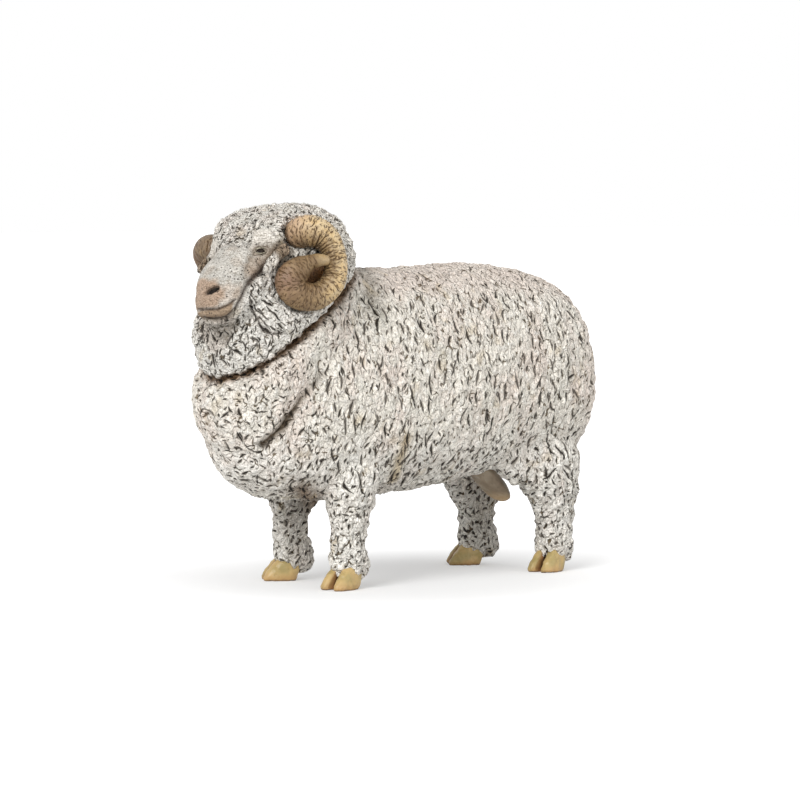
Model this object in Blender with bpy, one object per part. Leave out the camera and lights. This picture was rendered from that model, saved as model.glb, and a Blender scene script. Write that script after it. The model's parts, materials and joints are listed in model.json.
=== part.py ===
"""Toy farm animal figure: a standing merino ram in painted plastic, built as the glued assembly that it is.

The ram looks along -X and stands on Z = 0, over the origin. Its left side is -Y, and its head is turned a
little to the left. Each piece faces its neighbour across a thin glue seam. The head, horns, legs and hooves
also have a locating peg in a blind socket, and the ears, tail and pouch are glued on flat.
"""

import math

import bmesh
import bpy
from mathutils import Matrix, Vector

MM = 0.001

# Body, with its trunk measured from chest to rump and from belly to back
BODY_LENGTH = 108 * MM
BODY_DEPTH = 55 * MM
BODY_WIDTH = 49 * MM
BELLY_HEIGHT = 22 * MM

# Head, measured in the direction that it looks, from nape to muzzle
HEAD_LENGTH = 44 * MM
HEAD_HEIGHT = 43 * MM
HEAD_WIDTH = 39 * MM
HEAD_TURN = math.radians(15)
HEAD_TILT = math.radians(-9.5)
HEAD_TILT_LEVEL_SHARE = 0.33
WOOL_TILT_SHARE = 0.2

# Horns, each a tapering coil beside the head
HORN_RADIUS = 12 * MM
HORN_FLARE = math.radians(33)

# Ears
EAR_LENGTH = 14.5 * MM
EAR_WIDTH = 4.6 * MM
EAR_THICKNESS = 2.2 * MM

# Legs and hooves, with each leg's middle set in from the flank
LEG_THICKNESS = 10 * MM
LEG_INSET = 12 * MM
FRONT_LEG_PLACE_SHARES = (-0.221, -0.208)
HIND_LEG_PLACE_SHARES = (0.394, 0.347)
HOOF_LENGTH = 10.6 * MM
HOOF_WIDTH = 9.6 * MM
HOOF_HEIGHT = 6.2 * MM
HOOF_CLEFT = 0.9 * MM
TOE_OUT = math.radians(22)

# Small pieces behind
TAIL_LENGTH = 15 * MM
TAIL_WIDTH = 10 * MM
TAIL_THICKNESS = 6 * MM
SCROTUM_LENGTH = 14 * MM
SCROTUM_WIDTH = 10 * MM
SCROTUM_LEAN = math.radians(39)

# Glue joints: the seam between two pieces, the slack round a peg, and the peg's root in its own piece
SEAM_GAP = 0.3 * MM
PEG_SEAT = 0.3 * MM
PEG_ROOT = 3 * MM
NECK_PEG_RADIUS = 7 * MM
NECK_PEG_LENGTH = 9 * MM
LEG_PEG_RADIUS = 2.8 * MM
LEG_PEG_LENGTH = 6 * MM
LEG_PEG_RISE = 2 * MM
SMALL_PEG_RADIUS = 1.4 * MM
SMALL_PEG_LENGTH = 3.5 * MM

# Sides and rings of the round shapes
TRUNK_SIDES = 20
LIMB_SIDES = 10
CLAW_SIDES = 14
PEG_SIDES = 16
HORN_SIDES = 12
HORN_RINGS = 40

# Points that a cut leaves closer together than this become one
MERGE_DISTANCE = 0.002 * MM

# Paint
FLEECE_COLOUR = (0.80, 0.77, 0.70)
HORN_COLOUR = (0.48, 0.35, 0.20)
HOOF_COLOUR = (0.52, 0.37, 0.17)
SKIN_COLOUR = (0.42, 0.35, 0.28)

# Squareness of a hoop: 2 makes an ellipse, and more fills its corners
ROUND = 2
TRUNK_SQUARENESS = 2.3
HEAD_SQUARENESS = 2.15
CLAW_SQUARENESS = 2.4

# Hoops round the trunk from rump to neck: top x and z, bottom x and z, half width.
# The x shares are of the body's length from its middle, the z shares of its depth above the belly.
TRUNK_SHARES = (
    (0.500, 0.655, 0.500, 0.420, 0.143),
    (0.490, 0.785, 0.491, 0.235, 0.300),
    (0.462, 0.900, 0.480, 0.120, 0.410),
    (0.410, 0.970, 0.450, 0.090, 0.465),
    (0.320, 1.022, 0.343, 0.090, 0.490),
    (0.194, 1.044, 0.194, 0.040, 0.500),
    (0.056, 1.022, 0.037, 0.000, 0.500),
    (-0.046, 1.018, -0.120, -0.010, 0.480),
    (-0.093, 1.018, -0.259, -0.020, 0.460),
    (-0.116, 1.020, -0.385, -0.010, 0.435),
    (-0.130, 1.024, -0.473, 0.085, 0.410),
    (-0.135, 1.030, -0.484, 0.195, 0.350),
    (-0.141, 1.035, -0.514, 0.260, 0.380),
    (-0.146, 1.040, -0.536, 0.395, 0.390),
    (-0.152, 1.047, -0.527, 0.490, 0.365),
    (-0.167, 1.042, -0.510, 0.518, 0.310),
)
# The neck's flat face, as a share of its rim
NECK_FACE_SHARE = 0.62

# Hoops of the woolly crown and throat from neck to crown: top and bottom from the neck's middle as shares of
# the head's length and height, half width as a share of its width, and the share of the head's turn.
RUFF_SHARES = (
    (0.430, 0.360, -0.433, -0.265, 0.460, 0.15),
    (0.458, 0.420, -0.475, -0.170, 0.485, 0.40),
    (0.453, 0.500, -0.495, -0.030, 0.465, 0.70),
    (0.430, 0.590, -0.478, 0.150, 0.415, 1.00),
    (0.305, 0.658, -0.430, 0.320, 0.362, 1.00),
    (0.118, 0.680, -0.383, 0.460, 0.328, 1.00),
    (-0.045, 0.668, -0.262, 0.590, 0.235, 1.00),
)
# Hoops of the bare face from the brow to the nose
FACE_SHARES = (
    (-0.180, 0.590, -0.202, 0.156, 0.244, 1.00),
    (-0.347, 0.500, -0.313, 0.086, 0.269, 1.00),
    (-0.436, 0.430, -0.413, 0.040, 0.246, 1.00),
    (-0.513, 0.356, -0.502, 0.005, 0.208, 1.00),
    (-0.571, 0.293, -0.558, 0.000, 0.180, 1.00),
    (-0.609, 0.235, -0.593, 0.021, 0.152, 1.00),
    (-0.626, 0.175, -0.617, 0.078, 0.090, 1.00),
)

# Horn coil: middle from the neck's middle as shares of the head's length, width and height
HORN_PLACE_SHARES = (-0.177, 0.403, 0.283)
# Stations along the horn from base to tip, in shares of the coil's radius: place backward, upward and outward
# of the coil's middle, then the half widths across and along its axis
HORN_SHARES = (
    (-0.30, 0.68, -0.25, 0.28, 0.32),
    (0.02, 0.63, -0.10, 0.36, 0.32),
    (0.42, 0.50, -0.05, 0.27, 0.30),
    (0.59, 0.03, -0.03, 0.22, 0.28),
    (0.46, -0.48, 0.00, 0.23, 0.27),
    (0.04, -0.73, 0.00, 0.26, 0.27),
    (-0.38, -0.63, 0.02, 0.28, 0.27),
    (-0.53, -0.28, 0.05, 0.28, 0.26),
    (-0.33, 0.01, 0.08, 0.22, 0.23),
    (-0.09, 0.06, 0.10, 0.16, 0.19),
    (0.12, 0.05, 0.10, 0.13, 0.15),
    (0.31, 0.03, 0.10, 0.08, 0.08),
)
# Round recesses in the head for the coil and for its hollow middle: place backward, upward and outward of the
# coil's middle, then the radius, in shares of the coil's
HORN_RECESS_SHARES = ((0.00, 0.00, -0.10, 1.07), (0.14, -0.26, -0.34, 0.36))
# Step along the horn that its direction is taken from, as a share of its length
HORN_STEP_SHARE = 0.01

# Ear: root and tip as shares of the head's length, width and height from the neck's middle, then its rings
# from root to tip, as shares of its length and of its width
EAR_ROOT_SHARES = (-0.173, 0.310, 0.405)
EAR_TIP_SHARES = (-0.455, 0.300, 0.258)
EAR_RING_SHARES = ((0.00, 0.30), (0.25, 0.46), (0.55, 0.50), (0.82, 0.34), (1.00, 0.10))

# Rings of a leg from the hoof up: height as a share of the leg's free length up to the belly, then shift back
# and half lengths along and across as shares of its thickness
FRONT_LEG_SHARES = (
    (0.000, 0.00, 0.45, 0.44),
    (0.032, 0.01, 0.48, 0.46),
    (0.204, 0.04, 0.44, 0.43),
    (0.516, 0.04, 0.49, 0.47),
    (0.839, 0.05, 0.57, 0.55),
    (1.194, 0.08, 0.74, 0.68),
    (1.774, 0.15, 0.95, 0.80),
)
HIND_LEG_SHARES = (
    (0.000, 0.00, 0.45, 0.44),
    (0.032, 0.01, 0.48, 0.46),
    (0.204, 0.06, 0.44, 0.43),
    (0.516, 0.06, 0.51, 0.46),
    (0.806, -0.02, 0.70, 0.56),
    (1.129, -0.24, 1.02, 0.72),
    (1.903, -0.44, 1.40, 0.92),
)
# Rings of one claw from the ground up: height, toe and heel as shares of the hoof's height and length, and
# half width as a share of the hoof's width
CLAW_SHARES = (
    (0.00, -0.76, 0.16, 0.200),
    (0.15, -0.80, 0.20, 0.226),
    (0.45, -0.74, 0.26, 0.230),
    (0.78, -0.62, 0.32, 0.224),
    (1.00, -0.50, 0.32, 0.205),
)
# Block that joins a hoof's claws, as shares of the hoof's length, width and height
BRIDGE_SHARES = (0.30, 0.50, 0.70)

# Tail: rings from top to tip, as shares of its length and of its width, how much of its length is above its
# root, and how far its middle stands out from the rump, as a share of its thickness
TAIL_RING_SHARES = ((0.00, 0.30), (0.20, 0.46), (0.50, 0.50), (0.80, 0.44), (1.00, 0.24))
TAIL_RISE_SHARE = 0.5
TAIL_STAND_SHARE = 0.1

# Pouch: root as shares of the body's length and depth, and rings from root to tip, as shares of its sizes
SCROTUM_ROOT_SHARES = (0.25, 0.14)
SCROTUM_RING_SHARES = ((0.00, 0.36), (0.30, 0.42), (0.60, 0.50), (0.85, 0.44), (1.00, 0.22))


def clear_scene():
    for thing in list(bpy.data.objects):
        bpy.data.objects.remove(thing)


def paint(name, colour, roughness):
    """Material of one painted finish."""
    material = bpy.data.materials.new(name)
    material.use_nodes = True
    shader = material.node_tree.nodes["Principled BSDF"]
    shader.inputs["Base Color"].default_value = (*colour, 1)
    shader.inputs["Roughness"].default_value = roughness
    shader.inputs["Metallic"].default_value = 0
    material.diffuse_color = (*colour, 1)
    return material


def object_of(name, shape):
    """Object named name that holds the bmesh shape."""
    bmesh.ops.recalc_face_normals(shape, faces=shape.faces)
    mesh = bpy.data.meshes.new(name)
    shape.to_mesh(mesh)
    shape.free()
    piece = bpy.data.objects.new(name, mesh)
    bpy.context.scene.collection.objects.link(piece)
    return piece


def freeze(piece):
    """Turns the modifiers of piece into mesh."""
    bpy.context.view_layer.update()
    graph = bpy.context.evaluated_depsgraph_get()
    mesh = bpy.data.meshes.new_from_object(piece.evaluated_get(graph))
    piece.modifiers.clear()
    piece.data = mesh
    return piece


def rounded(value, squareness):
    return math.copysign(abs(value) ** (2 / squareness), value)


def hoop(top, bottom, side, squareness, count):
    """Closed ring of count points through top and bottom, as wide to each side as the vector side."""
    middle = (top + bottom) / 2
    up = (top - bottom) / 2
    ring = []
    for step in range(count):
        turn = 2 * math.pi * (step + 0.5) / count
        rise = up * rounded(math.cos(turn), squareness)
        ring.append(middle + rise + side * rounded(math.sin(turn), squareness))
    return ring


def loft(name, rings, smooth_levels=1):
    """Closed skin over rings of equally many points, smoothed by subdivision."""
    shape = bmesh.new()
    rows = [[shape.verts.new(point) for point in ring] for ring in rings]
    count = len(rings[0])
    for near, far in zip(rows, rows[1:]):
        for step in range(count):
            after = (step + 1) % count
            shape.faces.new((near[step], near[after], far[after], far[step]))
    shape.faces.new(rows[0])
    shape.faces.new(rows[-1])
    piece = object_of(name, shape)
    if smooth_levels:
        smooth = piece.modifiers.new("smooth", "SUBSURF")
        smooth.levels = smooth_levels
        smooth.render_levels = smooth_levels
        freeze(piece)
    return piece


def rod(name, start, direction, radius, length):
    """Round rod that runs from start along direction."""
    shape = bmesh.new()
    direction = direction.normalized()
    turn = direction.to_track_quat("Z", "Y").to_matrix().to_4x4()
    bmesh.ops.create_cone(
        shape,
        cap_ends=True,
        segments=PEG_SIDES,
        radius1=radius,
        radius2=radius,
        depth=length,
        matrix=Matrix.Translation(start + direction * (length / 2)) @ turn,
    )
    return object_of(name, shape)


def grown(piece, gap):
    """Copy of piece whose surface stands out by gap, to cut its neighbour with."""
    mesh = piece.data.copy()
    shifts = [vertex.normal * gap for vertex in mesh.vertices]
    for vertex, shift in zip(mesh.vertices, shifts):
        vertex.co += shift
    copy = bpy.data.objects.new(piece.name + "_clearance", mesh)
    copy.matrix_world = piece.matrix_world
    bpy.context.scene.collection.objects.link(copy)
    return copy


def combine(piece, tool, operation):
    """Cuts tool from piece, or joins it to piece, and deletes tool."""
    step = piece.modifiers.new(operation.lower(), "BOOLEAN")
    step.operation = operation
    step.solver = "EXACT"
    step.object = tool
    freeze(piece)
    bpy.data.objects.remove(tool)
    shape = bmesh.new()
    shape.from_mesh(piece.data)
    bmesh.ops.remove_doubles(shape, verts=shape.verts, dist=MERGE_DISTANCE)
    bmesh.ops.dissolve_degenerate(shape, edges=shape.edges, dist=MERGE_DISTANCE)
    shape.to_mesh(piece.data)
    shape.free()
    return piece


def cut_clear(piece, neighbour):
    return combine(piece, grown(neighbour, SEAM_GAP), "DIFFERENCE")


def plug_in(piece, host, root, direction, radius, length):
    """Gives piece a locating peg at root, and host the socket for it."""
    start = root - direction.normalized() * PEG_ROOT
    combine(piece, rod("peg", start, direction, radius, PEG_ROOT + length), "UNION")
    socket = rod("socket", start, direction, radius + PEG_SEAT, PEG_ROOT + length + SEAM_GAP)
    combine(host, socket, "DIFFERENCE")


def keep_largest_body(piece):
    """Drops loose slivers that a cut has left beside the main body."""
    shape = bmesh.new()
    shape.from_mesh(piece.data)
    left = set(shape.verts)
    islands = []
    while left:
        seed = left.pop()
        island = {seed}
        front = [seed]
        while front:
            vertex = front.pop()
            for edge in vertex.link_edges:
                other = edge.other_vert(vertex)
                if other in left:
                    left.remove(other)
                    island.add(other)
                    front.append(other)
        islands.append(island)
    largest = max(islands, key=len)
    extra = [vertex for vertex in shape.verts if vertex not in largest]
    bmesh.ops.delete(shape, geom=extra, context="VERTS")
    shape.to_mesh(piece.data)
    shape.free()
    return piece


# Trunk


def trunk_point(x_share, z_share):
    return Vector((x_share * BODY_LENGTH, 0, BELLY_HEIGHT + z_share * BODY_DEPTH))


def neck_rim():
    """Top, bottom and half width of the trunk's last hoop, where the head is seated."""
    top_x, top_z, bottom_x, bottom_z, half = TRUNK_SHARES[-1]
    return trunk_point(top_x, top_z), trunk_point(bottom_x, bottom_z), half * BODY_WIDTH


def neck_middle():
    top, bottom, _ = neck_rim()
    return (top + bottom) / 2


def neck_direction():
    """Unit vector out of the neck's flat face, up and forward."""
    top, bottom, _ = neck_rim()
    return (top - bottom).cross(Vector((0, 1, 0))).normalized()


def flat_rings(top, bottom, side, shift):
    """The neck's rim and a smaller ring in its plane, so that the face between them is flat."""
    middle = (top + bottom) / 2
    rings = []
    for share in (1, NECK_FACE_SHARE):
        high = middle + (top - middle) * share + shift
        low = middle + (bottom - middle) * share + shift
        rings.append(hoop(high, low, side * share, TRUNK_SQUARENESS, TRUNK_SIDES))
    return rings


def make_torso():
    rings = []
    for top_x, top_z, bottom_x, bottom_z, half in TRUNK_SHARES[:-1]:
        side = Vector((0, half * BODY_WIDTH, 0))
        top = trunk_point(top_x, top_z)
        bottom = trunk_point(bottom_x, bottom_z)
        rings.append(hoop(top, bottom, side, TRUNK_SQUARENESS, TRUNK_SIDES))
    top, bottom, half_width = neck_rim()
    rings += flat_rings(top, bottom, Vector((0, half_width, 0)), Vector((0, 0, 0)))
    return loft("torso", rings)


# Head


def head_rotation(turn_share=1.0, tilt_share=1.0):
    """Turn of the head to the left, with the tilt that lowers its right side."""
    turn = Matrix.Rotation(HEAD_TURN * turn_share, 3, "Z")
    return turn @ Matrix.Rotation(HEAD_TILT * tilt_share, 3, "X")


def head_point(x_share, y_share, z_share, turn_share=1.0, tilt_share=1.0):
    """Point of the head from shares of its length, width and height, turned with it about the neck."""
    level = Vector((0, 0, HEAD_TILT_LEVEL_SHARE * HEAD_HEIGHT))
    place = Vector((x_share * HEAD_LENGTH, y_share * HEAD_WIDTH, z_share * HEAD_HEIGHT))
    return neck_middle() + level + head_rotation(turn_share, tilt_share) @ (place - level)


def head_rings(table, tilt_share):
    rings = []
    for top_x, top_z, bottom_x, bottom_z, half, turn in table:
        top = head_point(top_x, 0, top_z, turn, turn * tilt_share)
        bottom = head_point(bottom_x, 0, bottom_z, turn, turn * tilt_share)
        side = head_rotation(turn, turn * tilt_share) @ Vector((0, half * HEAD_WIDTH, 0))
        rings.append(hoop(top, bottom, side, HEAD_SQUARENESS, TRUNK_SIDES))
    return rings


def make_head():
    top, bottom, half_width = neck_rim()
    lift = neck_direction() * SEAM_GAP
    seat = flat_rings(top, bottom, Vector((0, half_width, 0)), lift)
    crown = loft("head", list(reversed(seat)) + head_rings(RUFF_SHARES, WOOL_TILT_SHARE))
    face = loft("face", head_rings(FACE_SHARES, 1))
    return combine(crown, face, "UNION")


# Horns


def along(table, share):
    """Row of table at a share of its length, on a smooth curve through its rows."""
    spot = share * (len(table) - 1)
    index = min(int(spot), len(table) - 2)
    part = spot - index
    rows = [table[min(max(index + step, 0), len(table) - 1)] for step in (-1, 0, 1, 2)]
    values = []
    for before, near, far, after in zip(*rows):
        slope_near = (far - before) / 2
        slope_far = (after - near) / 2
        rise = far - near
        bend = (slope_near - rise) * (1 - part) - (slope_far - rise) * part
        values.append(near + rise * part + part * (1 - part) * bend)
    return values


def horn_frame(side):
    """Middle of the coil, and its backward, upward and outward directions; side is -1 on the left."""
    x_share, y_share, z_share = HORN_PLACE_SHARES
    rotation = head_rotation()
    back = rotation @ Vector((math.cos(HORN_FLARE), side * math.sin(HORN_FLARE), 0))
    out = rotation @ Vector((-math.sin(HORN_FLARE), side * math.cos(HORN_FLARE), 0))
    return head_point(x_share, side * y_share, z_share), back, rotation @ Vector((0, 0, 1)), out


def horn_station(side, share):
    """Centre, outward and sideways directions and two half widths of the horn at a share of its length."""
    middle, back, up, out = horn_frame(side)
    go_back, go_up, go_out, high, wide = [value * HORN_RADIUS for value in along(HORN_SHARES, share)]
    return middle + back * go_back + up * go_up + out * go_out, out, high, wide


def make_horn(name, side):
    rings = []
    for step in range(HORN_RINGS):
        share = step / (HORN_RINGS - 1)
        centre, out, high, wide = horn_station(side, share)
        ahead = horn_station(side, min(share + HORN_STEP_SHARE, 1))[0]
        behind = horn_station(side, max(share - HORN_STEP_SHARE, 0))[0]
        run = (ahead - behind).normalized()
        radial = run.cross(out).normalized()
        out = radial.cross(run).normalized()
        ring = []
        for corner in range(HORN_SIDES):
            turn = 2 * math.pi * corner / HORN_SIDES
            ring.append(centre + radial * high * math.cos(turn) + out * wide * math.sin(turn))
        rings.append(ring)
    return loft(name, rings, smooth_levels=0)


def horn_recess(side, shares):
    """Round cutter that makes room in the head for the coil."""
    middle, back, up, out = horn_frame(side)
    go_back, go_up, go_out, radius = [value * HORN_RADIUS for value in shares]
    floor = middle + back * go_back + up * go_up + out * go_out
    return rod("recess", floor, out, radius, HORN_RADIUS)


# Ears


def make_ear(name, side):
    """Leaf that lies along the cheek."""
    root_x, root_y, root_z = EAR_ROOT_SHARES
    tip_x, tip_y, tip_z = EAR_TIP_SHARES
    root = head_point(root_x, side * root_y, root_z)
    tip = head_point(tip_x, side * tip_y, tip_z)
    run = (tip - root).normalized()
    outward = head_rotation() @ Vector((0, side, 0))
    across = run.cross(outward).normalized()
    outward = across.cross(run).normalized()
    rings = []
    for share, width in EAR_RING_SHARES:
        centre = root + run * (EAR_LENGTH * share)
        half = across * (EAR_WIDTH * width)
        thick = outward * (EAR_THICKNESS * width)
        rings.append(hoop(centre + half, centre - half, thick, ROUND, LIMB_SIDES))
    return loft(name, rings)


# Legs and hooves


def make_leg(name, place, table):
    foot = HOOF_HEIGHT + SEAM_GAP
    rings = []
    for height, shift, half_long, half_wide in table:
        level = foot + height * (BELLY_HEIGHT - foot)
        centre = Vector((place.x + shift * LEG_THICKNESS, place.y, level))
        along_leg = Vector((half_long * LEG_THICKNESS, 0, 0))
        across = Vector((0, half_wide * LEG_THICKNESS, 0))
        rings.append(hoop(centre - along_leg, centre + along_leg, across, ROUND, LIMB_SIDES))
    return loft(name, rings)


def make_claw(side):
    """One of the hoof's two toes, at the origin and pointing along -X."""
    rings = []
    for height, toe, heel, half in CLAW_SHARES:
        inner = HOOF_CLEFT / 2
        middle = side * (inner + half * HOOF_WIDTH)
        level = height * HOOF_HEIGHT
        toe_point = Vector((toe * HOOF_LENGTH, middle, level))
        heel_point = Vector((heel * HOOF_LENGTH, middle, level))
        half_width = Vector((0, half * HOOF_WIDTH, 0))
        rings.append(hoop(toe_point, heel_point, half_width, CLAW_SQUARENESS, CLAW_SIDES))
    return loft("claw", rings, smooth_levels=0)


def make_hoof(name, place, turn):
    """Two claws on one bridge behind the cleft, turned out like the leg's foot."""
    hoof = make_claw(-1)
    hoof.name = name
    shape = bmesh.new()
    long, wide, high = BRIDGE_SHARES
    size = Matrix.Diagonal((HOOF_LENGTH * long, HOOF_WIDTH * wide, HOOF_HEIGHT * high, 1))
    centre = Vector((0, 0, HOOF_HEIGHT * (1 - high / 2) - SEAM_GAP))
    bmesh.ops.create_cube(shape, size=1, matrix=Matrix.Translation(centre) @ size)
    combine(hoof, object_of("bridge", shape), "UNION")
    combine(hoof, make_claw(1), "UNION")
    hoof.data.transform(Matrix.Translation(place) @ Matrix.Rotation(turn, 4, "Z"))
    return hoof


# Small pieces behind


def make_tail():
    """Docked, woolly tail that hangs flat against the rump."""
    rump = trunk_point(TRUNK_SHARES[0][0], TRUNK_SHARES[0][1])
    stand = TAIL_THICKNESS * TAIL_STAND_SHARE
    rings = []
    for share, width in TAIL_RING_SHARES:
        centre = rump + Vector((stand, 0, TAIL_LENGTH * (TAIL_RISE_SHARE - share)))
        half = Vector((TAIL_THICKNESS * width, 0, 0))
        side = Vector((0, TAIL_WIDTH * width, 0))
        rings.append(hoop(centre + half, centre - half, side, ROUND, LIMB_SIDES))
    return loft("tail", rings)


def make_scrotum():
    """Bare pouch that hangs between the hind legs and leans back."""
    root = trunk_point(*SCROTUM_ROOT_SHARES)
    lean = Vector((math.sin(SCROTUM_LEAN), 0, -math.cos(SCROTUM_LEAN)))
    across = Vector((0, 1, 0)).cross(lean).normalized()
    rings = []
    for share, width in SCROTUM_RING_SHARES:
        centre = root + lean * (SCROTUM_LENGTH * share)
        half = across * (SCROTUM_WIDTH * width)
        side = Vector((0, SCROTUM_WIDTH * width, 0))
        rings.append(hoop(centre + half, centre - half, side, ROUND, LIMB_SIDES))
    return loft("scrotum", rings)


def fit_horn_and_ear(head, solid_torso, word, side):
    """Horn with its recess and socket in the head, and the ear between horn and cheek."""
    horn = cut_clear(make_horn(word + "_horn", side), solid_torso)
    keep_largest_body(horn)
    for shares in HORN_RECESS_SHARES:
        combine(head, horn_recess(side, shares), "DIFFERENCE")
    cut_clear(head, horn)
    inward = head_rotation() @ Vector((0, -side, 0))
    plug_in(horn, head, horn_station(side, 0)[0], inward, SMALL_PEG_RADIUS, SMALL_PEG_LENGTH)
    ear = cut_clear(make_ear(word + "_ear", side), head)
    cut_clear(ear, horn)
    keep_largest_body(ear)
    return horn, ear


def fit_leg_and_hoof(torso, solid_torso, prefix, side, x_share, table):
    """Leg plugged into the torso, and the hoof plugged into the leg."""
    up = Vector((0, 0, 1))
    place = Vector((x_share * BODY_LENGTH, side * (BODY_WIDTH / 2 - LEG_INSET), 0))
    leg = cut_clear(make_leg(prefix + "_leg", place, table), solid_torso)
    keep_largest_body(leg)
    hoof = make_hoof(prefix + "_hoof", place, -side * TOE_OUT)
    plug_in(hoof, leg, place + up * HOOF_HEIGHT, up, SMALL_PEG_RADIUS, SMALL_PEG_LENGTH)
    shoulder = place + up * (BELLY_HEIGHT + LEG_PEG_RISE)
    plug_in(leg, torso, shoulder, up, LEG_PEG_RADIUS, LEG_PEG_LENGTH)
    return leg, hoof


def finish(pieces, material):
    for piece in pieces:
        piece.data.materials.clear()
        piece.data.materials.append(material)
        piece.data.shade_smooth()


def stand_over_origin(pieces):
    """Moves the pieces together, so that the middle of their outline from above lies over the origin."""
    places = [vertex.co for piece in pieces for vertex in piece.data.vertices]
    middle_x = (min(place.x for place in places) + max(place.x for place in places)) / 2
    middle_y = (min(place.y for place in places) + max(place.y for place in places)) / 2
    for piece in pieces:
        piece.location = (-middle_x, -middle_y, 0)


def build():
    clear_scene()
    torso = make_torso()
    head = make_head()
    solid_torso = grown(torso, 0)
    plug_in(head, torso, neck_middle(), -neck_direction(), NECK_PEG_RADIUS, NECK_PEG_LENGTH)

    woolly = [torso, head]
    horns = []
    for word, side in (("left", -1), ("right", 1)):
        horn, ear = fit_horn_and_ear(head, solid_torso, word, side)
        horns.append(horn)
        woolly.append(ear)

    hooves = []
    scrotum = cut_clear(make_scrotum(), solid_torso)
    for kind, table, places in (
        ("front", FRONT_LEG_SHARES, FRONT_LEG_PLACE_SHARES),
        ("hind", HIND_LEG_SHARES, HIND_LEG_PLACE_SHARES),
    ):
        for word, side, x_share in (("left", -1, places[0]), ("right", 1, places[1])):
            leg, hoof = fit_leg_and_hoof(torso, solid_torso, f"{kind}_{word}", side, x_share, table)
            cut_clear(scrotum, leg)
            woolly.append(leg)
            hooves.append(hoof)
    keep_largest_body(scrotum)
    woolly.append(cut_clear(make_tail(), solid_torso))
    bpy.data.objects.remove(solid_torso)

    finish(woolly, paint("fleece", FLEECE_COLOUR, roughness=0.75))
    finish(horns, paint("horn", HORN_COLOUR, roughness=0.55))
    finish(hooves, paint("hoof", HOOF_COLOUR, roughness=0.50))
    finish([scrotum], paint("skin", SKIN_COLOUR, roughness=0.60))
    stand_over_origin(woolly + horns + hooves + [scrotum])


build()
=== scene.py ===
"""Looks of a hand-painted ram figure: a carved fleece, a bare face, coiled horns and cloven hooves.

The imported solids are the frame. Lengths are in millimetres until a piece is finished and scaled to metres.
The ram faces along -X, its left side along -Y, and +Z is up. A pixel is a place in the 800 x 800 photograph.
"""
import json
import math
from collections import namedtuple

import bmesh
import bpy
import numpy as np
from mathutils import Matrix, Vector
from mathutils.bvhtree import BVHTree

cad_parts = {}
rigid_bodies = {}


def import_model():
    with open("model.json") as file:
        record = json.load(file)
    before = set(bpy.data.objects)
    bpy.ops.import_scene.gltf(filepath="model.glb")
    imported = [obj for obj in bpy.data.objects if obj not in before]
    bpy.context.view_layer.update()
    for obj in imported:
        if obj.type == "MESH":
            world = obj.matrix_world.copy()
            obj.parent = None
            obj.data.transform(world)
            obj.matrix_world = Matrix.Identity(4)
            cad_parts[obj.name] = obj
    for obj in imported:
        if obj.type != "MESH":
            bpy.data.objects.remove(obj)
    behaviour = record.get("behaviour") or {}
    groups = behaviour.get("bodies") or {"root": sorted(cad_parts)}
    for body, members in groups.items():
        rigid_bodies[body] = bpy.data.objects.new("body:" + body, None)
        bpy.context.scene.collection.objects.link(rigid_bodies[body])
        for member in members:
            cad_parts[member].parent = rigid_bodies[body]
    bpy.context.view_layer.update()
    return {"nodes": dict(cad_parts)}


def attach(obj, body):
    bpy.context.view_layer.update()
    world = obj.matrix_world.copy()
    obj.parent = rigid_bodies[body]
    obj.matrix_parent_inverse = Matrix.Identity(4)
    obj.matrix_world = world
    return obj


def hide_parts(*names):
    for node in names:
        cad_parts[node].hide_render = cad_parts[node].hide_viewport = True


for left_over in list(bpy.data.objects):
    bpy.data.objects.remove(left_over)
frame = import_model()

# The camera of the photograph.
MM = 0.001
PHOTO_SIZE = 800
PHOTO_FOCAL = 3600.0
SENSOR = 36.0
VIEW_DISTANCE = 900.0
VIEW_AZIMUTH = math.radians(-39.0)
VIEW_RISE = math.radians(3.35)
VIEW_AIM = Vector((4.39, -1.10, 44.6))
VIEW_LIMIT = 50.0


def direction(azimuth, rise):
    """The direction that leads from the ram to a camera or a lamp."""
    flat = math.cos(rise)
    return Vector((math.sin(azimuth) * flat, -math.cos(azimuth) * flat, math.sin(rise)))


view_back = direction(VIEW_AZIMUTH, VIEW_RISE)
view_right = Vector((math.cos(VIEW_AZIMUTH), math.sin(VIEW_AZIMUTH), 0.0))
view_up = view_back.cross(view_right)
view_eye = VIEW_AIM + view_back * VIEW_DISTANCE


def pixel_ray(pixel):
    """The direction in which the camera sees a pixel of the photograph."""
    half = PHOTO_SIZE / 2
    right = (pixel[0] - half) / PHOTO_FOCAL
    down = (pixel[1] - half) / PHOTO_FOCAL
    return (view_right * right - view_up * down - view_back).normalized()


def pixels_of(points):
    """The pixels at which the camera sees points."""
    away = points - np.array(view_eye)
    deep = -(away @ np.array(view_back))
    half = PHOTO_SIZE / 2
    across = half + PHOTO_FOCAL * (away @ np.array(view_right)) / deep
    down = half - PHOTO_FOCAL * (away @ np.array(view_up)) / deep
    return np.stack([across, down], axis=-1)


def link(thing):
    bpy.context.scene.collection.objects.link(thing)
    return thing


def add_camera():
    data = bpy.data.cameras.new("camera")
    data.sensor_width = SENSOR
    data.lens = SENSOR * PHOTO_FOCAL / PHOTO_SIZE
    data.clip_end = VIEW_LIMIT
    camera = link(bpy.data.objects.new("camera", data))
    turn = Matrix((view_right, view_up, view_back)).transposed()
    camera.matrix_world = Matrix.Translation(view_eye * MM) @ turn.to_4x4()
    bpy.context.scene.camera = camera


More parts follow.
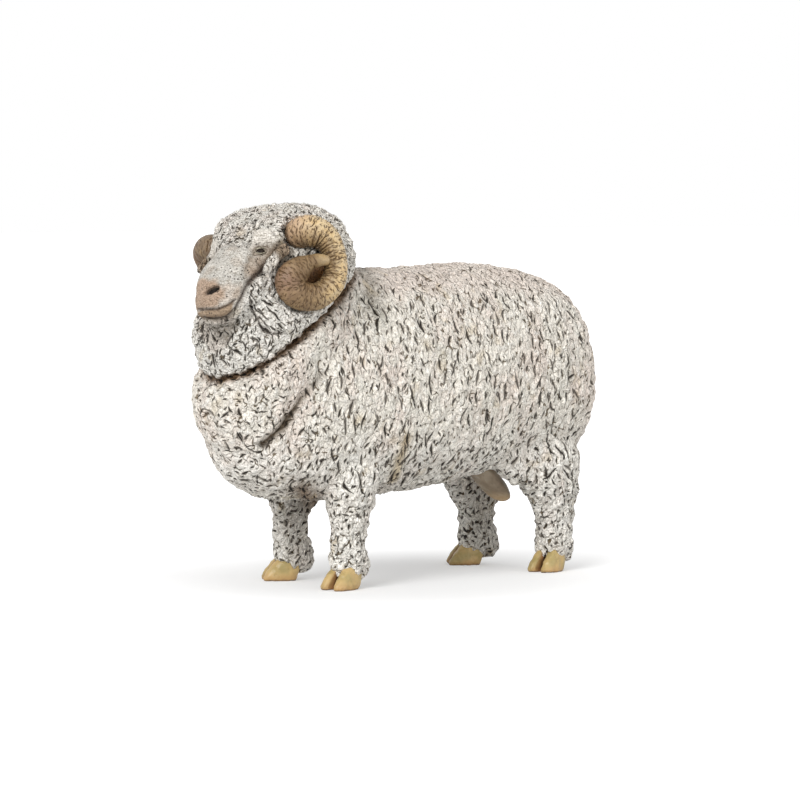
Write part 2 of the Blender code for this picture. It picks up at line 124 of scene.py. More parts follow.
# The head's own frame: back, to the right, and up from a pivot above the neck.
NECK_LIFT = 14.19
HEAD_PIVOT = Vector((-33.53, 0.0, 64.90 + NECK_LIFT))
HEAD_TURN = Matrix.Rotation(math.radians(15.0), 3, "Z") @ Matrix.Rotation(math.radians(-9.5), 3, "X")
HEAD_ACROSS = np.array(HEAD_TURN @ Vector((0.0, 1.0, 0.0)))
# How far the muzzle's middle lies off the head's, and how far ahead of the pivot that sets in and is full.
FACE_SHIFT = 3.3
SHIFT_AHEAD = (17.0, 24.0)


def head_local(points):
    return (points - np.array(HEAD_PIVOT)) @ np.array(HEAD_TURN)


def face_middle(local):
    return FACE_SHIFT * ease(-local[:, 0], *SHIFT_AHEAD)


def far_side(points):
    """Points of the near half of the face carried to the far half."""
    local = head_local(points)
    local[:, 1] = 2.0 * face_middle(local) - local[:, 1]
    return local @ np.array(HEAD_TURN).T + np.array(HEAD_PIVOT)


def mirror_body(points):
    return points * np.array([1.0, -1.0, 1.0])


WELD = 0.005
SKIN_SMOOTH = 0.5
LUMP_TURNS = 4


def read_points(mesh):
    points = np.empty(len(mesh.vertices) * 3, dtype=np.float32)
    mesh.vertices.foreach_get("co", points)
    return points.reshape(-1, 3).astype(float)


def read_normals(mesh):
    normals = np.empty(len(mesh.vertices) * 3, dtype=np.float32)
    mesh.vertex_normals.foreach_get("vector", normals)
    return normals.reshape(-1, 3).astype(float)


def write_points(mesh, points):
    mesh.vertices.foreach_set("co", points.astype(np.float32).ravel())
    mesh.update()


def own_copy(nodes, lumps=()):
    """The named solids of the frame, and rounded lumps to be fused with them, in one mesh in millimetres."""
    shape = bmesh.new()
    for node in nodes:
        shape.from_mesh(frame["nodes"][node].data)
    bmesh.ops.scale(shape, vec=(1.0 / MM,) * 3, verts=shape.verts)
    for centre, radii, turn in lumps:
        size = Matrix.Diagonal(Vector(radii).to_4d())
        place = Matrix.Translation(centre) @ Matrix.Rotation(turn, 4, "Z") @ size
        bmesh.ops.create_icosphere(shape, subdivisions=LUMP_TURNS, radius=1.0, matrix=place)
    bmesh.ops.remove_doubles(shape, verts=shape.verts, dist=WELD)
    mesh = bpy.data.meshes.new("copy")
    shape.to_mesh(mesh)
    shape.free()
    return mesh


def apply_modifiers(mesh, *settings):
    """The mesh after the given modifiers, each a kind and its values."""
    holder = link(bpy.data.objects.new("holder", mesh))
    for kind, values in settings:
        modifier = holder.modifiers.new(kind, kind)
        for name, value in values.items():
            setattr(modifier, name, value)
    graph = bpy.context.evaluated_depsgraph_get()
    made = bpy.data.meshes.new_from_object(holder.evaluated_get(graph), depsgraph=graph)
    bpy.data.objects.remove(holder)
    return made


def soft_skin(nodes, voxel, turns, lumps=()):
    """One even closed skin over the named solids, with its corners rounded off."""
    skin = apply_modifiers(
        own_copy(nodes, lumps),
        ("REMESH", {"mode": "VOXEL", "voxel_size": voxel}),
        ("SMOOTH", {"factor": SKIN_SMOOTH, "iterations": turns}),
    )
    skin.shade_smooth()
    return skin


def tree_of(mesh):
    points = [vertex.co for vertex in mesh.vertices]
    return BVHTree.FromPolygons(points, [face.vertices[:] for face in mesh.polygons])


def line_on(tree, pixels, step=1.0):
    """Points on a surface under a line drawn through pixels of the photograph."""
    found = []
    for start, end in zip(pixels[:-1], pixels[1:]):
        start, end = Vector(start), Vector(end)
        count = max(1, int((end - start).length / step))
        for number in range(count + 1):
            spot = tree.ray_cast(view_eye, pixel_ray(start.lerp(end, number / count)))[0]
            if spot is not None:
                found.append(spot[:])
    return np.array(found)


def distance_to(points, line):
    """How far each point is from the nearest point of a line."""
    best = np.full(len(points), np.inf)
    for spot in line:
        best = np.minimum(best, ((points - spot) ** 2).sum(axis=1))
    return np.sqrt(best)


SEAM_CORE = 0.7
SEAM_REACH = 2.3


def beside(points, tree):
    """One at points that all but touch a surface, and nothing at those beyond the seam's reach."""
    found = np.full(len(points), SEAM_REACH)
    for number, point in enumerate(points):
        distance = tree.find_nearest(Vector(point), SEAM_REACH)[3]
        if distance is not None:
            found[number] = distance
    return 1.0 - ease(found, SEAM_CORE, SEAM_REACH)


def bell(distance, width):
    return np.exp(-((distance / width) ** 2))


def ease(value, low, high):
    """Nothing at low, one at high, and smooth between."""
    share = np.clip((value - low) / (high - low), 0.0, 1.0)
    return share * share * (3.0 - 2.0 * share)


def inside(pixels, corners, soft):
    """One inside a polygon of pixels and nothing outside it, smooth over its edge."""
    corners = np.array(corners, dtype=float)
    crossings = np.zeros(len(pixels), dtype=int)
    nearest = np.full(len(pixels), np.inf)
    for start, end in zip(corners, np.roll(corners, -1, axis=0)):
        side = end - start
        away = pixels - start
        share = np.clip((away @ side) / (side @ side), 0.0, 1.0)
        nearest = np.minimum(nearest, np.linalg.norm(away - share[:, None] * side, axis=1))
        spans = (start[1] > pixels[:, 1]) != (end[1] > pixels[:, 1])
        rise = np.where(spans, (pixels[:, 1] - start[1]) / (end[1] - start[1] + 1e-9), 0.0)
        crossings += spans & (pixels[:, 0] < start[0] + rise * side[0])
    signed = np.where(crossings % 2 == 1, nearest, -nearest)
    return ease(signed, -soft, soft)


def unit(vectors):
    return vectors / (np.linalg.norm(vectors, axis=1)[:, None] + 1e-9)


class Wire:
    """An output of a node. Sums and products of wires add math nodes to its tree."""

    def __init__(self, net, socket):
        self.net, self.socket = net, socket

    def __add__(self, other):
        return self.net.math("ADD", self, other)

    def __sub__(self, other):
        return self.net.math("SUBTRACT", self, other)

    def __rsub__(self, other):
        return self.net.math("SUBTRACT", other, self)

    def __mul__(self, other):
        return self.net.math("MULTIPLY", self, other)

    def __truediv__(self, other):
        return self.net.math("DIVIDE", self, other)

    def __abs__(self):
        return self.net.math("ABSOLUTE", self)

    def clip(self):
        """The same wire, held between nothing and one."""
        self.socket.node.use_clamp = True
        return self


class Net:
    """Adds nodes to one tree, a shader's or a geometry tree alike."""

    def __init__(self, tree):
        self.tree = tree

    def add(self, kind, **settings):
        node = self.tree.nodes.new(kind)
        for name, value in settings.items():
            setattr(node, name, value)
        return node

    def feed(self, socket, value):
        if isinstance(value, Wire):
            self.tree.links.new(value.socket, socket)
        else:
            socket.default_value = value

    def join(self, kind, values=(), output=0, **settings):
        """A new node with its first inputs fed, as the wire of one of its outputs."""
        node = self.add(kind, **settings)
        for socket, value in zip(node.inputs, values):
            self.feed(socket, value)
        return Wire(self, node.outputs[output])

    def math(self, operation, *values):
        return self.join("ShaderNodeMath", values, operation=operation)

    def most(self, first, *others):
        for other in others:
            first = self.math("MAXIMUM", first, other)
        return first

    def vector(self, operation, *values):
        output = "Value" if operation in ("DOT_PRODUCT", "LENGTH") else "Vector"
        return self.join("ShaderNodeVectorMath", values, output, operation=operation)

    def split(self, value):
        node = self.join("ShaderNodeSeparateXYZ", (value,)).socket.node
        return [Wire(self, socket) for socket in node.outputs]

    def smooth(self, value, low, high):
        return self.join("ShaderNodeMapRange", (value, low, high), interpolation_type="SMOOTHSTEP")

    def noise(self, spot, size, detail=2.0, output="Fac"):
        made = self.join("ShaderNodeTexNoise", (spot,), output)
        made.socket.node.inputs["Scale"].default_value = 1.0 / size
        made.socket.node.inputs["Detail"].default_value = detail
        return made

    def cells(self, spot, size, feature="F1"):
        node = self.join("ShaderNodeTexVoronoi", (spot,), feature=feature).socket.node
        node.inputs["Scale"].default_value = 1.0 / size
        return {socket.name: Wire(self, socket) for socket in node.outputs}

    def mix(self, share, first, second, blend="MIX"):
        """A colour between two, or the first one darkened by the second with MULTIPLY."""
        node = self.add("ShaderNodeMix", data_type="RGBA", blend_type=blend)
        for number, value in ((0, share), (6, first), (7, second)):
            self.feed(node.inputs[number], value)
        return Wire(self, node.outputs[2])

    def blotch(self, colour, level, band, second):
        """The colour with another over it. The band is where the level sets in, where it is full, and how
        thick the other colour lies there."""
        low, high, share = band
        return self.mix(self.smooth(level, low, high) * share, colour, second)


class GeometryNet(Net):
    def read(self, name):
        node = self.add("GeometryNodeInputNamedAttribute", data_type="FLOAT_VECTOR")
        node.inputs["Name"].default_value = name
        return Wire(self, node.outputs[0])


class ShaderNet(Net):
    def read(self, name, output="Vector"):
        return self.join("ShaderNodeAttribute", (), output, attribute_name=name)


# A kind of slit: the space each one has, half its length and width, how much it bends, and how deep it is.
Slit = namedtuple("Slit", "space half_length half_width bend deep")
LONG_SLIT = Slit(3.0, 2.5, 0.235, 0.32, 0.45)
SHORT_SLIT = Slit(1.9, 0.98, 0.168, 0.5, 0.32)
Cut = namedtuple("Cut", "spot long short wash bare shade")
FLEECE_STRETCH = 0.62
WARP = 1.05
WARP_SIZE = 2.2
ORDER_HOLD = 2.5
PICK_SPREAD = 7.3
REACH_LEAST = 0.45
REACH_MORE = 0.9
HALO_WIDTH = 3.2
VEIN_DETAIL = 1.5


def warped(net, spot):
    """The place, pushed about a little, so that no stroke runs quite straight."""
    push = net.vector("SUBTRACT", net.noise(spot, WARP_SIZE, 1.0, "Color"), (0.5, 0.5, 0.5))
    return net.vector("MULTIPLY_ADD", push, (WARP, WARP, WARP), spot)


def slits(net, spot, grain, side, order, amount, bold, kind, stretch, spare):
    """How deep the slits of one kind are at a spot, from nothing to one, and the soft shade about them."""
    found = []
    for feature in ("F1", "F2"):
        cell = net.cells(spot, kind.space, feature)
        offset = net.vector("SUBTRACT", cell["Position"], spot)
        turn, bent, there = net.split(cell["Color"])
        along = net.vector("DOT_PRODUCT", offset, grain) / stretch
        across = net.vector("DOT_PRODUCT", offset, side)
        angle = (turn - 0.5) * (order * -ORDER_HOLD + math.pi)
        cosine, sine = net.math("COSINE", angle), net.math("SINE", angle)
        run = along * cosine + across * sine
        off = abs(across * cosine - along * sine + (bent - 0.5) * kind.bend * (run * run))
        pick = net.math("FRACT", there * PICK_SPREAD)
        share = run / (pick * (kind.half_length * REACH_MORE) + kind.half_length * REACH_LEAST)
        lens = 1.0 - share * share
        thick = bold * kind.half_width + spare
        exists = net.math("LESS_THAN", there, amount)
        deep = (lens - off / thick).clip() * (exists * (bent * 0.5 + 0.5))
        found.append((deep, (lens - off / (thick * HALO_WIDTH)).clip() * exists))
    return [net.most(first, second) for first, second in zip(*found)]


def carving(net, stretch, spare=0.0):
    """The slits of both kinds, by what the mesh says of their run, number and boldness."""
    spot = warped(net, net.read("place"))
    grain, side = net.read("grain"), net.read("side")
    order, *amounts = net.split(net.read("style"))
    bold, wash, bare = net.split(net.read("paint"))
    (long_deep, long_shade), (short_deep, short_shade) = (
        slits(net, spot, grain, side, order, amount, bold, kind, stretch, spare)
        for amount, kind in zip(amounts, (LONG_SLIT, SHORT_SLIT))
    )
    return Cut(spot, long_deep, short_deep, wash, bare, net.most(long_shade, short_shade))


def veins(net, spot, size, width):
    """Thin lines that wind about like curls, one on the line and nothing off it."""
    return 1.0 - net.smooth(abs(net.noise(spot, size, VEIN_DETAIL) - 0.5), 0.0, width)


LUMP_SIZE = 6.5
LUMP_RISE = 0.55
CURL_SIZE = 1.7
CURL_RISE = 0.85
FOLD_SIZE = 1.9
FOLD_DETAIL = 1.2
FOLD_DEPTH = 0.22
FOLD_WIDTH = 0.03
FOLD_LEAST = 0.002
FOLD_SHADE = 0.11
FOLD_OPENS = (0.46, 0.66)
OPENING_SIZE = 1.15
SPARE_WIDTH = 0.16


def folds_of(net, spot):
    """Cracks that follow the curls, wide in places and closed in others, and the soft shade beside them."""
    level = abs(net.noise(spot, FOLD_SIZE, FOLD_DETAIL) - 0.5)
    opening = net.smooth(net.noise(spot, OPENING_SIZE, 0.0), *FOLD_OPENS)
    crack = (1.0 - level / (opening * FOLD_WIDTH + FOLD_LEAST)).clip()
    shade = (1.0 - level / FOLD_SHADE).clip()
    return crack * net.smooth(opening, 0.05, 0.4), shade * (opening * 0.8 + 0.2)


def carve(mesh, stretch, lumps=1.0):
    """The mesh with its slits and lumps really cut."""
    tree = bpy.data.node_groups.new("carve", "GeometryNodeTree")
    for way in ("INPUT", "OUTPUT"):
        tree.interface.new_socket("Geometry", in_out=way, socket_type="NodeSocketGeometry")
    net = GeometryNet(tree)
    cut = carving(net, stretch, SPARE_WIDTH)
    depth = net.most(
        cut.long * LONG_SLIT.deep, cut.short * SHORT_SLIT.deep, folds_of(net, cut.spot)[0] * FOLD_DEPTH,
    )
    broad = net.noise(net.read("place"), LUMP_SIZE, 1.0) - 0.5
    fine = net.noise(cut.spot, CURL_SIZE, 1.0) - 0.5
    rise = fine * (CURL_RISE * 2.0 * lumps) + broad * (LUMP_RISE * 2.0 * lumps)
    push = net.vector("SCALE", net.join("GeometryNodeInputNormal"))
    net.feed(push.socket.node.inputs["Scale"], (rise - depth) * (1.0 - cut.bare))
    moved = net.join("GeometryNodeSetPosition", (net.join("NodeGroupInput"),))
    net.feed(moved.socket.node.inputs["Offset"], push)
    net.feed(net.add("NodeGroupOutput").inputs[0], moved)
    return apply_modifiers(mesh, ("NODES", {"node_group": tree}))


def keep(mesh, name, values, kind, field):
    layer = mesh.attributes.new(name, kind, "POINT")
    layer.data.foreach_set(field, np.asarray(values, dtype=np.float32).ravel())


def keep_all(mesh, place, grain, side, style, paint, tint):
    """Lays on the mesh what the carver and the painter read there.

    The style is how orderly the slits lie and the share of long and of short ones. The paint is how bold they
    are, how thick the dark wash and the painted shade lie, and how bare of wool the place is. Either may be
    numbers or arrays.
    """
    count = len(place)
    style, paint = (
        np.stack([np.broadcast_to(value, count) for value in values], axis=1) for values in (style, paint)
    )
    for name, values in zip(("place", "grain", "side", "style", "paint"), (place, grain, side, style, paint)):
        keep(mesh, name, values, "FLOAT_VECTOR", "vector")
    keep(mesh, "tint", tint.colour, "FLOAT_COLOR", "color")


def paint_of(red, green, blue):
    """A colour written as on a screen, for a node to use."""
    def linear(level):
        level = level / 255.0
        return level / 12.92 if level <= 0.04045 else ((level + 0.055) / 1.055) ** 2.4
    return (linear(red), linear(green), linear(blue), 1.0)


WOOL = paint_of(242, 236, 225)
WOOL_WARM = paint_of(233, 219, 208)
WOOL_COOL = paint_of(226, 223, 212)
WOOL_LIGHT = paint_of(252, 249, 242)
OCHRE = paint_of(184, 158, 104)
ARMPIT_BROWN = paint_of(128, 104, 80)
SEAM_BROWN = paint_of(126, 94, 58)
NECK_SHADE_GREY = paint_of(138, 132, 116)
CRACK = paint_of(138, 124, 102)
# Painted shade and painted highlight for the edges of the wool's relief. The highlight is above one and is
# multiplied in; it also brightens the drybrushed rims about the slits.
EDGE_SHADE = paint_of(140, 127, 107)
GLEAM = (1.13, 1.13, 1.12, 1.0)
SLIT_DARK = paint_of(42, 35, 27)
SLIT_SHADE = paint_of(116, 103, 84)
WASH_AND_SHADE = paint_of(104, 88, 64)
PINK = paint_of(186, 158, 134)
LIP_TAN = paint_of(166, 142, 116)
CHIN_SHADE_BROWN = paint_of(146, 120, 96)
FACE_WHITE = paint_of(205, 201, 193)
BROW_WHITE = paint_of(236, 230, 220)
FACE_BROWN = paint_of(112, 97, 78)
SHADE_BROWN = paint_of(108, 90, 76)
FACE_TAN = paint_of(178, 156, 134)
DARK_LINE = paint_of(58, 42, 30)
NOSTRIL_DARK = paint_of(28, 19, 10)
HOLE_SHADE_BROWN = paint_of(136, 90, 38)
GAP_SHADE_BROWN = paint_of(150, 124, 94)
EYE_DARK, EYE_BROWN = paint_of(20, 15, 12), paint_of(40, 29, 21)
LID_DARK, LID_PALE = paint_of(96, 88, 72), paint_of(176, 168, 150)

# Bands for blotches and lines: where a level sets in, where it is full, and how thick the paint lies.
WARM_CLOUD, COOL_CLOUD, LIGHT_CURL = (0.42, 0.62, 0.75), (0.48, 0.68, 0.6), (0.52, 0.66, 0.6)
STAIN = (0.6, 0.72, 0.3)
SLIT_EDGE = (0.42, 0.72, 0.55)
PLATEAU = 0.46
FINE_PLATEAU = 0.26
STEP_SIZE = 1.1
SMALL_STEP_SIZE = 0.6
# The direction the painted light falls on the relief: forward and up.
EDGE_FORWARD = -0.12
EDGE_UP = 0.24
TINT_UNEVEN = 5.0
SCRATCH_SHAPE = (1.0, 1.0, 2.4)
FLECK_SIZE, FLECK_WIDTH = 0.95, 0.34


class Tint:
    """Colours laid over one another on the points of a piece, each as thick as its mask says."""

    def __init__(self, count):
        self.colour = np.zeros((count, 4))

    def lay(self, colour, mask):
        mask = np.clip(mask, 0.0, 1.0)
        thick = mask + self.colour[:, 3] * (1.0 - mask)
        part = np.divide(mask, thick, out=np.zeros_like(mask), where=thick > 1e-6)
        for channel in range(3):
            below = self.colour[:, channel]
            self.colour[:, channel] = below + (colour[channel] - below) * part
        self.colour[:, 3] = thick


def material(name, rough, specular=0.4):
    made = bpy.data.materials.new(name)
    made.use_nodes = True
    shader = made.node_tree.nodes["Principled BSDF"]
    shader.inputs["Roughness"].default_value = rough
    shader.inputs["Specular IOR Level"].default_value = specular
    return made, ShaderNet(made.node_tree)


def finish_paint(made, net, colour, height=None, strength=1.0):
    """The material with its colour, and with a height in millimetres for its finest relief, if it has one."""
    shader = made.node_tree.nodes["Principled BSDF"]
    net.feed(shader.inputs["Base Color"], colour)
    if height is not None:
        node = net.add("ShaderNodeBump")
        for name, value in (("Strength", strength), ("Distance", MM), ("Height", height)):
            net.feed(node.inputs[name], value)
        net.feed(shader.inputs["Normal"], Wire(net, node.outputs["Normal"]))
    return made


def flecks(net, spot, amount):
    """Small round dots, as many as the amount says."""
    cell = net.cells(spot, FLECK_SIZE)
    dot = 1.0 - net.smooth(cell["Distance"], FLECK_WIDTH * 0.4, FLECK_WIDTH)
    return dot * net.math("LESS_THAN", net.split(cell["Color"])[0], amount)


def steps(net, spot):
    """Broad and small ledges, as if the wool lay in flakes."""
    broad = net.smooth(net.noise(spot, STEP_SIZE, 1.0), 0.44, 0.56)
    return broad, net.smooth(net.noise(spot, SMALL_STEP_SIZE, 1.0), 0.42, 0.58)


def wool_material(name, stretch):
    """Off-white paint over carved wool, with a dark wash that stays in the slits."""
    made, net = material(name, 0.62)
    cut = carving(net, stretch)
    place, spot, wool = net.read("place"), cut.spot, 1.0 - cut.bare
    middle, curl, grit = net.noise(place, 3.2, 3.0), net.noise(spot, 0.85, 2.0), net.noise(place, 0.4, 2.0)
    colour = net.blotch(WOOL, net.noise(place, 9.0, 3.0), WARM_CLOUD, WOOL_WARM)
    colour = net.blotch(colour, middle, COOL_CLOUD, WOOL_COOL)
    colour = net.blotch(colour, curl, LIGHT_CURL, WOOL_LIGHT)
    alpha = net.read("tint", "Alpha")
    thick = (alpha * (1.0 - alpha) * ((middle - 0.5) * TINT_UNEVEN) + alpha).clip()
    colour = net.mix(thick, colour, net.read("tint", "Color"))
    low, high, share = STAIN
    colour = net.mix(net.smooth(net.noise(place, 4.0, 3.0), low, high) * share * wool, colour, OCHRE)
    # The dark wash where the mesh asks for it: in the chest crease, and as painted shade under the belly, on
    # the legs' inner sides and under the chin.
    colour = net.mix(cut.wash * (net.smooth(grit, 0.3, 0.7) * 0.5 + 0.6), colour, WASH_AND_SHADE)
    fine_veins = veins(net, spot, 0.62, 0.06)
    folds, fold_shade = folds_of(net, spot)
    folds = folds * wool
    # Dark lines multiplied in: the cracks, the fine veins, and a faint painted shade beside the cracks.
    lines = net.most(fold_shade * 0.14, fine_veins * 0.16, net.smooth(folds, 0.05, 0.7) * 0.95)
    scratch = veins(net, net.vector("MULTIPLY", place, SCRATCH_SHAPE), 1.25, 0.05) * cut.bare
    lines = net.most(lines * (cut.bare * -0.3 + 1.0), scratch * 0.65)
    colour = net.mix(lines, colour, CRACK, "MULTIPLY")
    rim = net.smooth(cut.shade, 0.04, 0.24) - net.smooth(cut.shade, 0.38, 0.58)
    # Painted light and shade on the relief: edges that face up and forward are painted lighter, and those
    # that face away are painted darker.
    step, small_step = steps(net, spot)
    step_above, small_above = steps(net, net.vector("ADD", spot, (EDGE_FORWARD, 0.0, EDGE_UP * stretch)))
    edge_light = (small_step - small_above) * 0.6 + (step - step_above)
    edge_light = edge_light * (cut.bare * -0.75 + 1.0)
    colour = net.mix((edge_light * 0.9).clip(), colour, GLEAM, "MULTIPLY")
    colour = net.mix((edge_light * -0.42).clip(), colour, EDGE_SHADE, "MULTIPLY")
    colour = net.mix(rim * 0.8, colour, GLEAM, "MULTIPLY")
    # Painted shade: a soft darkening just beside each slit.
    low, high, share = SLIT_EDGE
    colour = net.mix(net.smooth(cut.shade, low, high) * share, colour, SLIT_SHADE, "MULTIPLY")
    deep = net.most(
        net.smooth(cut.long, 0.03, 0.5), net.smooth(cut.short, 0.03, 0.45),
        flecks(net, spot, net.read("fleck", "Fac")) * 0.9, net.smooth(folds, 0.3, 1.0) * 0.45,
    )
    colour = net.mix(deep * (net.smooth(middle, 0.4, 0.6) * 0.2 + 0.8), colour, SLIT_DARK)
    height = curl * 1.15 + fold_shade * -0.25 + step * PLATEAU + small_step * FINE_PLATEAU
    height = (height + folds * -0.25 + fine_veins * -0.09) * (cut.bare * -0.62 + 1.0)
    height = height + grit * 0.09 + rim * 0.1 + scratch * -0.07 - cut.long * 0.34 - cut.short * 0.3
    return finish_paint(made, net, colour, height)


def tangents(normals, along_body):
    """Two directions in the surface: the way the wool is combed, and the way across it."""
    across = np.cross(np.array([1.0, 0.0, 0.0]), normals)
    firm = np.linalg.norm(across, axis=1)[:, None]
    down = -np.array([0.0, 0.0, 1.0]) + normals * normals[:, 2:3]
    grain = unit(across + down * (1.0 - firm) * 1.5 if along_body else down + across * 0.05)
    return grain, np.cross(normals, grain)


def finish_piece(name, mesh, paint, nodes):
    """A finished mesh in millimetres, put into the scene in metres for the solids it stands for."""
    mesh.name = name
    mesh.transform(Matrix.Scale(MM, 4))
    mesh.materials.clear()
    mesh.materials.append(paint)
    mesh.shade_smooth()
    piece = link(bpy.data.objects.new(name, mesh))
    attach(piece, "root")
    if nodes:
        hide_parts(*nodes)


# The fleece of the body and the legs.
LEGS = ("front_left_leg", "front_right_leg", "hind_left_leg", "hind_right_leg")
FLEECE_VOXEL = 0.45
FLEECE_TURNS = 60
CREASE = ((324, 374), (313, 386), (303, 397), (294, 411), (284, 426), (273, 436), (261, 445))
CREASE_WIDTH = 0.85
CREASE_DEPTH = 1.35
CREASE_ROLL = 0.4
CREASE_BELOW = (-50.0, -43.0)
OCHRE_SPOTS = ((358, 420), (220, 384), (219, 401), (425, 345), (392, 440), (300, 455))
# Each row: a line of paint, its width, how thick it lies, and its colour. First brown in the hollow
# behind the elbow, then an ochre stain on the belly, then painted shade in grey at the top of the neck.
STAIN_AND_SHADE_LINES = (
    (((301, 489), (308, 496), (315, 504)), 3.4, 0.85, ARMPIT_BROWN),
    (((406, 438), (402, 452), (398, 466), (393, 480)), 1.6, 0.65, OCHRE),
    (((360, 268), (371, 284), (377, 306)), 3.2, 0.4, NECK_SHADE_GREY),
)
HOOF_SPOTS = ((-20.8, -12.5), (-19.4, 12.5), (45.6, -12.5), (40.5, 12.5))
TOE_OUT = math.radians(22.0)
# Each row: how far behind a hoof's middle and how high a lump of wool lies, and its radii.
CUFF_LUMPS = ((0.7, 7.0, (5.0, 4.7, 5.2)), (3.3, 4.7, (2.5, 3.8, 2.6)))
# Each row: a centre, the radii and the turn of a lump where the belly's wool runs into the thigh.
GROINS = (((33.4, -12.2, 29.3), (6.2, 4.6, 6.6), 0.0), ((30.4, 12.2, 29.3), (5.0, 4.2, 5.5), 0.0))
LEG_SWELL = 0.45
SHIN_HEIGHT = 12.5
SHIN_TALL = 8.0
SHIN_WIDE = 9.0
SHIN_SLIM = (1.3, 2.0, 0.0, 0.4)
LEG_TOP = 23.0
LEG_FINER = 0.12
LEG_ROUGH = 0.5
SEAM_LOW = 45.0
# Where each area sets in and where it is full: by how far down, ahead or behind it is, or by how it faces.
SWELL_BELOW, LEG_BELOW, UNDER_BELOW = (-27.0, -20.0), (-25.0, -21.0), (-42.0, -28.0)
CHEST_AHEAD, RUMP_BEHIND, HAUNCH_BEHIND, SHIN_BEHIND = (30.0, 42.0), (46.0, 55.0), (34.0, 44.0), (-1.0, 4.0)
BACK_FACING, BELLY_FACING, INNER_FACING = (0.55, 0.85), (0.35, 0.8), (0.1, 0.8)
# What each area adds: how orderly the slits lie, the share of long and of short ones, and how bold they are.
FLEECE_STYLE = {
    "flank": (0.88, 0.66, 0.25, 1.35), "back": (0.55, 0.22, 0.42, 1.1), "chest": (0.2, 0.2, 0.75, 1.25),
    "rump": (0.2, 0.1, 0.6, 1.25), "leg": (0.25, 0.0, 0.9, 1.7), "haunch": (-0.35, 0.0, 0.0, 0.0),
    "under": (0.0, 0.0, 0.15, 0.0), "under_flank": (0.0, 0.0, 0.4, 0.0), "belly": (0.0, 0.0, 0.0, 0.4),
    "inner": (0.0, 0.0, 0.0, 0.3),
}


def pasterns():
    """The wool that comes down over the top and the heel of each hoof."""
    lumps = []
    for x, y in HOOF_SPOTS:
        turn = -math.copysign(TOE_OUT, y)
        for reach, height, radii in CUFF_LUMPS:
            lumps.append(((x + reach * math.cos(turn), y + reach * math.sin(turn), height), radii, turn))
    return lumps


def add_fleece():
    mesh = soft_skin(("torso",) + LEGS, FLEECE_VOXEL, FLEECE_TURNS, pasterns() + list(GROINS))
    points, normals = read_points(mesh), read_normals(mesh)
    tree = tree_of(mesh)
    points = points + normals * (LEG_SWELL * ease(-points[:, 2], *SWELL_BELOW))[:, None]
    for (x, y), slim in zip(HOOF_SPOTS, SHIN_SLIM):
        near = bell(points[:, 1] - y, SHIN_WIDE) * bell(points[:, 0] - x, SHIN_WIDE)
        near *= ease(points[:, 0] - x, *SHIN_BEHIND)
        points[:, 0] -= slim * near * bell(points[:, 2] - SHIN_HEIGHT, SHIN_TALL)
    near = line_on(tree, CREASE)
    away = np.minimum(distance_to(points, near), distance_to(points, mirror_body(near)))
    low = 0.3 + 0.7 * ease(-points[:, 2], *CREASE_BELOW)
    fold = CREASE_ROLL * bell(away - 2.4 * CREASE_WIDTH, 1.4 * CREASE_WIDTH)
    fold -= CREASE_DEPTH * bell(away, CREASE_WIDTH)
    points = points + normals * (low * fold)[:, None]
    write_points(mesh, points)
    x, y, z = points.T
    normals = read_normals(mesh)
    up = normals[:, 2]
    leg = ease(-z, *LEG_BELOW)
    off_leg = 1.0 - leg
    grain = unit(tangents(normals, True)[0] * off_leg[:, None] + tangents(normals, False)[0] * leg[:, None])
    back, chest, rump = ease(up, *BACK_FACING), ease(-x, *CHEST_AHEAD), ease(x, *RUMP_BEHIND) * off_leg
    under = ease(-z, *UNDER_BELOW) * off_leg
    areas = {
        "flank": (1.0 - back) * (1.0 - chest) * (1.0 - rump) * off_leg,
        "back": back, "chest": chest, "rump": rump, "leg": leg,
        "haunch": ease(x, *HAUNCH_BEHIND) * off_leg * (1.0 - back),
        "under": under, "under_flank": under * (1.0 - chest),
        "belly": ease(-up, *BELLY_FACING) * off_leg,
        "inner": leg * ease(-normals[:, 1] * np.sign(y), *INNER_FACING),
    }
    order, longs, shorts, bold = sum(np.outer(row, areas[name]) for name, row in FLEECE_STYLE.items())
    creased = low * bell(away, CREASE_WIDTH * 0.9)
    # The dark wash in the crease, and painted shade under the belly and on the legs' inner sides.
    wash_and_shade = np.maximum.reduce([0.8 * creased, 0.14 * areas["belly"], 0.3 * areas["inner"]])
    tint = Tint(len(points))
    tint.lay(WOOL_WARM, 0.65 * np.maximum(back, rump))
    # Painted light: the legs and the underside of the body are laid paler.
    tint.lay(WOOL_LIGHT, 0.65 * np.maximum(leg, under))
    tint.lay(FACE_BROWN, 0.7 * creased)
    tint.lay(DARK_LINE, 0.9 * low * bell(away, CREASE_WIDTH * 0.35))
    high = np.flatnonzero((z > SEAM_LOW) & (x < 0.0))
    seam = np.zeros(len(points))
    seam[high] = beside(points[high], tree_of(own_copy(("head",))))
    tint.lay(SEAM_BROWN, 0.95 * seam)
    for pixels, width, share, colour in STAIN_AND_SHADE_LINES:
        near = line_on(tree, pixels)
        for line in (near, mirror_body(near)):
            tint.lay(colour, share * bell(distance_to(points, line), width))
    for across, down in OCHRE_SPOTS:
        near = line_on(tree, ((across, down), (across + 1, down)))
        tint.lay(OCHRE, 0.35 * bell(distance_to(points, near), 1.3))
    tops = np.array([(x, y, LEG_TOP) for x, y in HOOF_SPOTS])
    nearest = ((points[:, None, :2] - tops[None, :, :2]) ** 2).sum(axis=2).argmin(axis=1)
    place = points + (points - tops[nearest]) * (LEG_FINER * leg)[:, None]
    place = place * np.array([1.0, FLEECE_STRETCH, FLEECE_STRETCH])
    paint = (bold, wash_and_shade, -LEG_ROUGH * leg)
    keep_all(mesh, place, grain, np.cross(normals, grain), (order, longs, shorts), paint, tint)
    mesh = carve(mesh, FLEECE_STRETCH)
    finish_piece("fleece", mesh, wool_material("fleece_paint", FLEECE_STRETCH), ("torso",) + LEGS)
    return tree


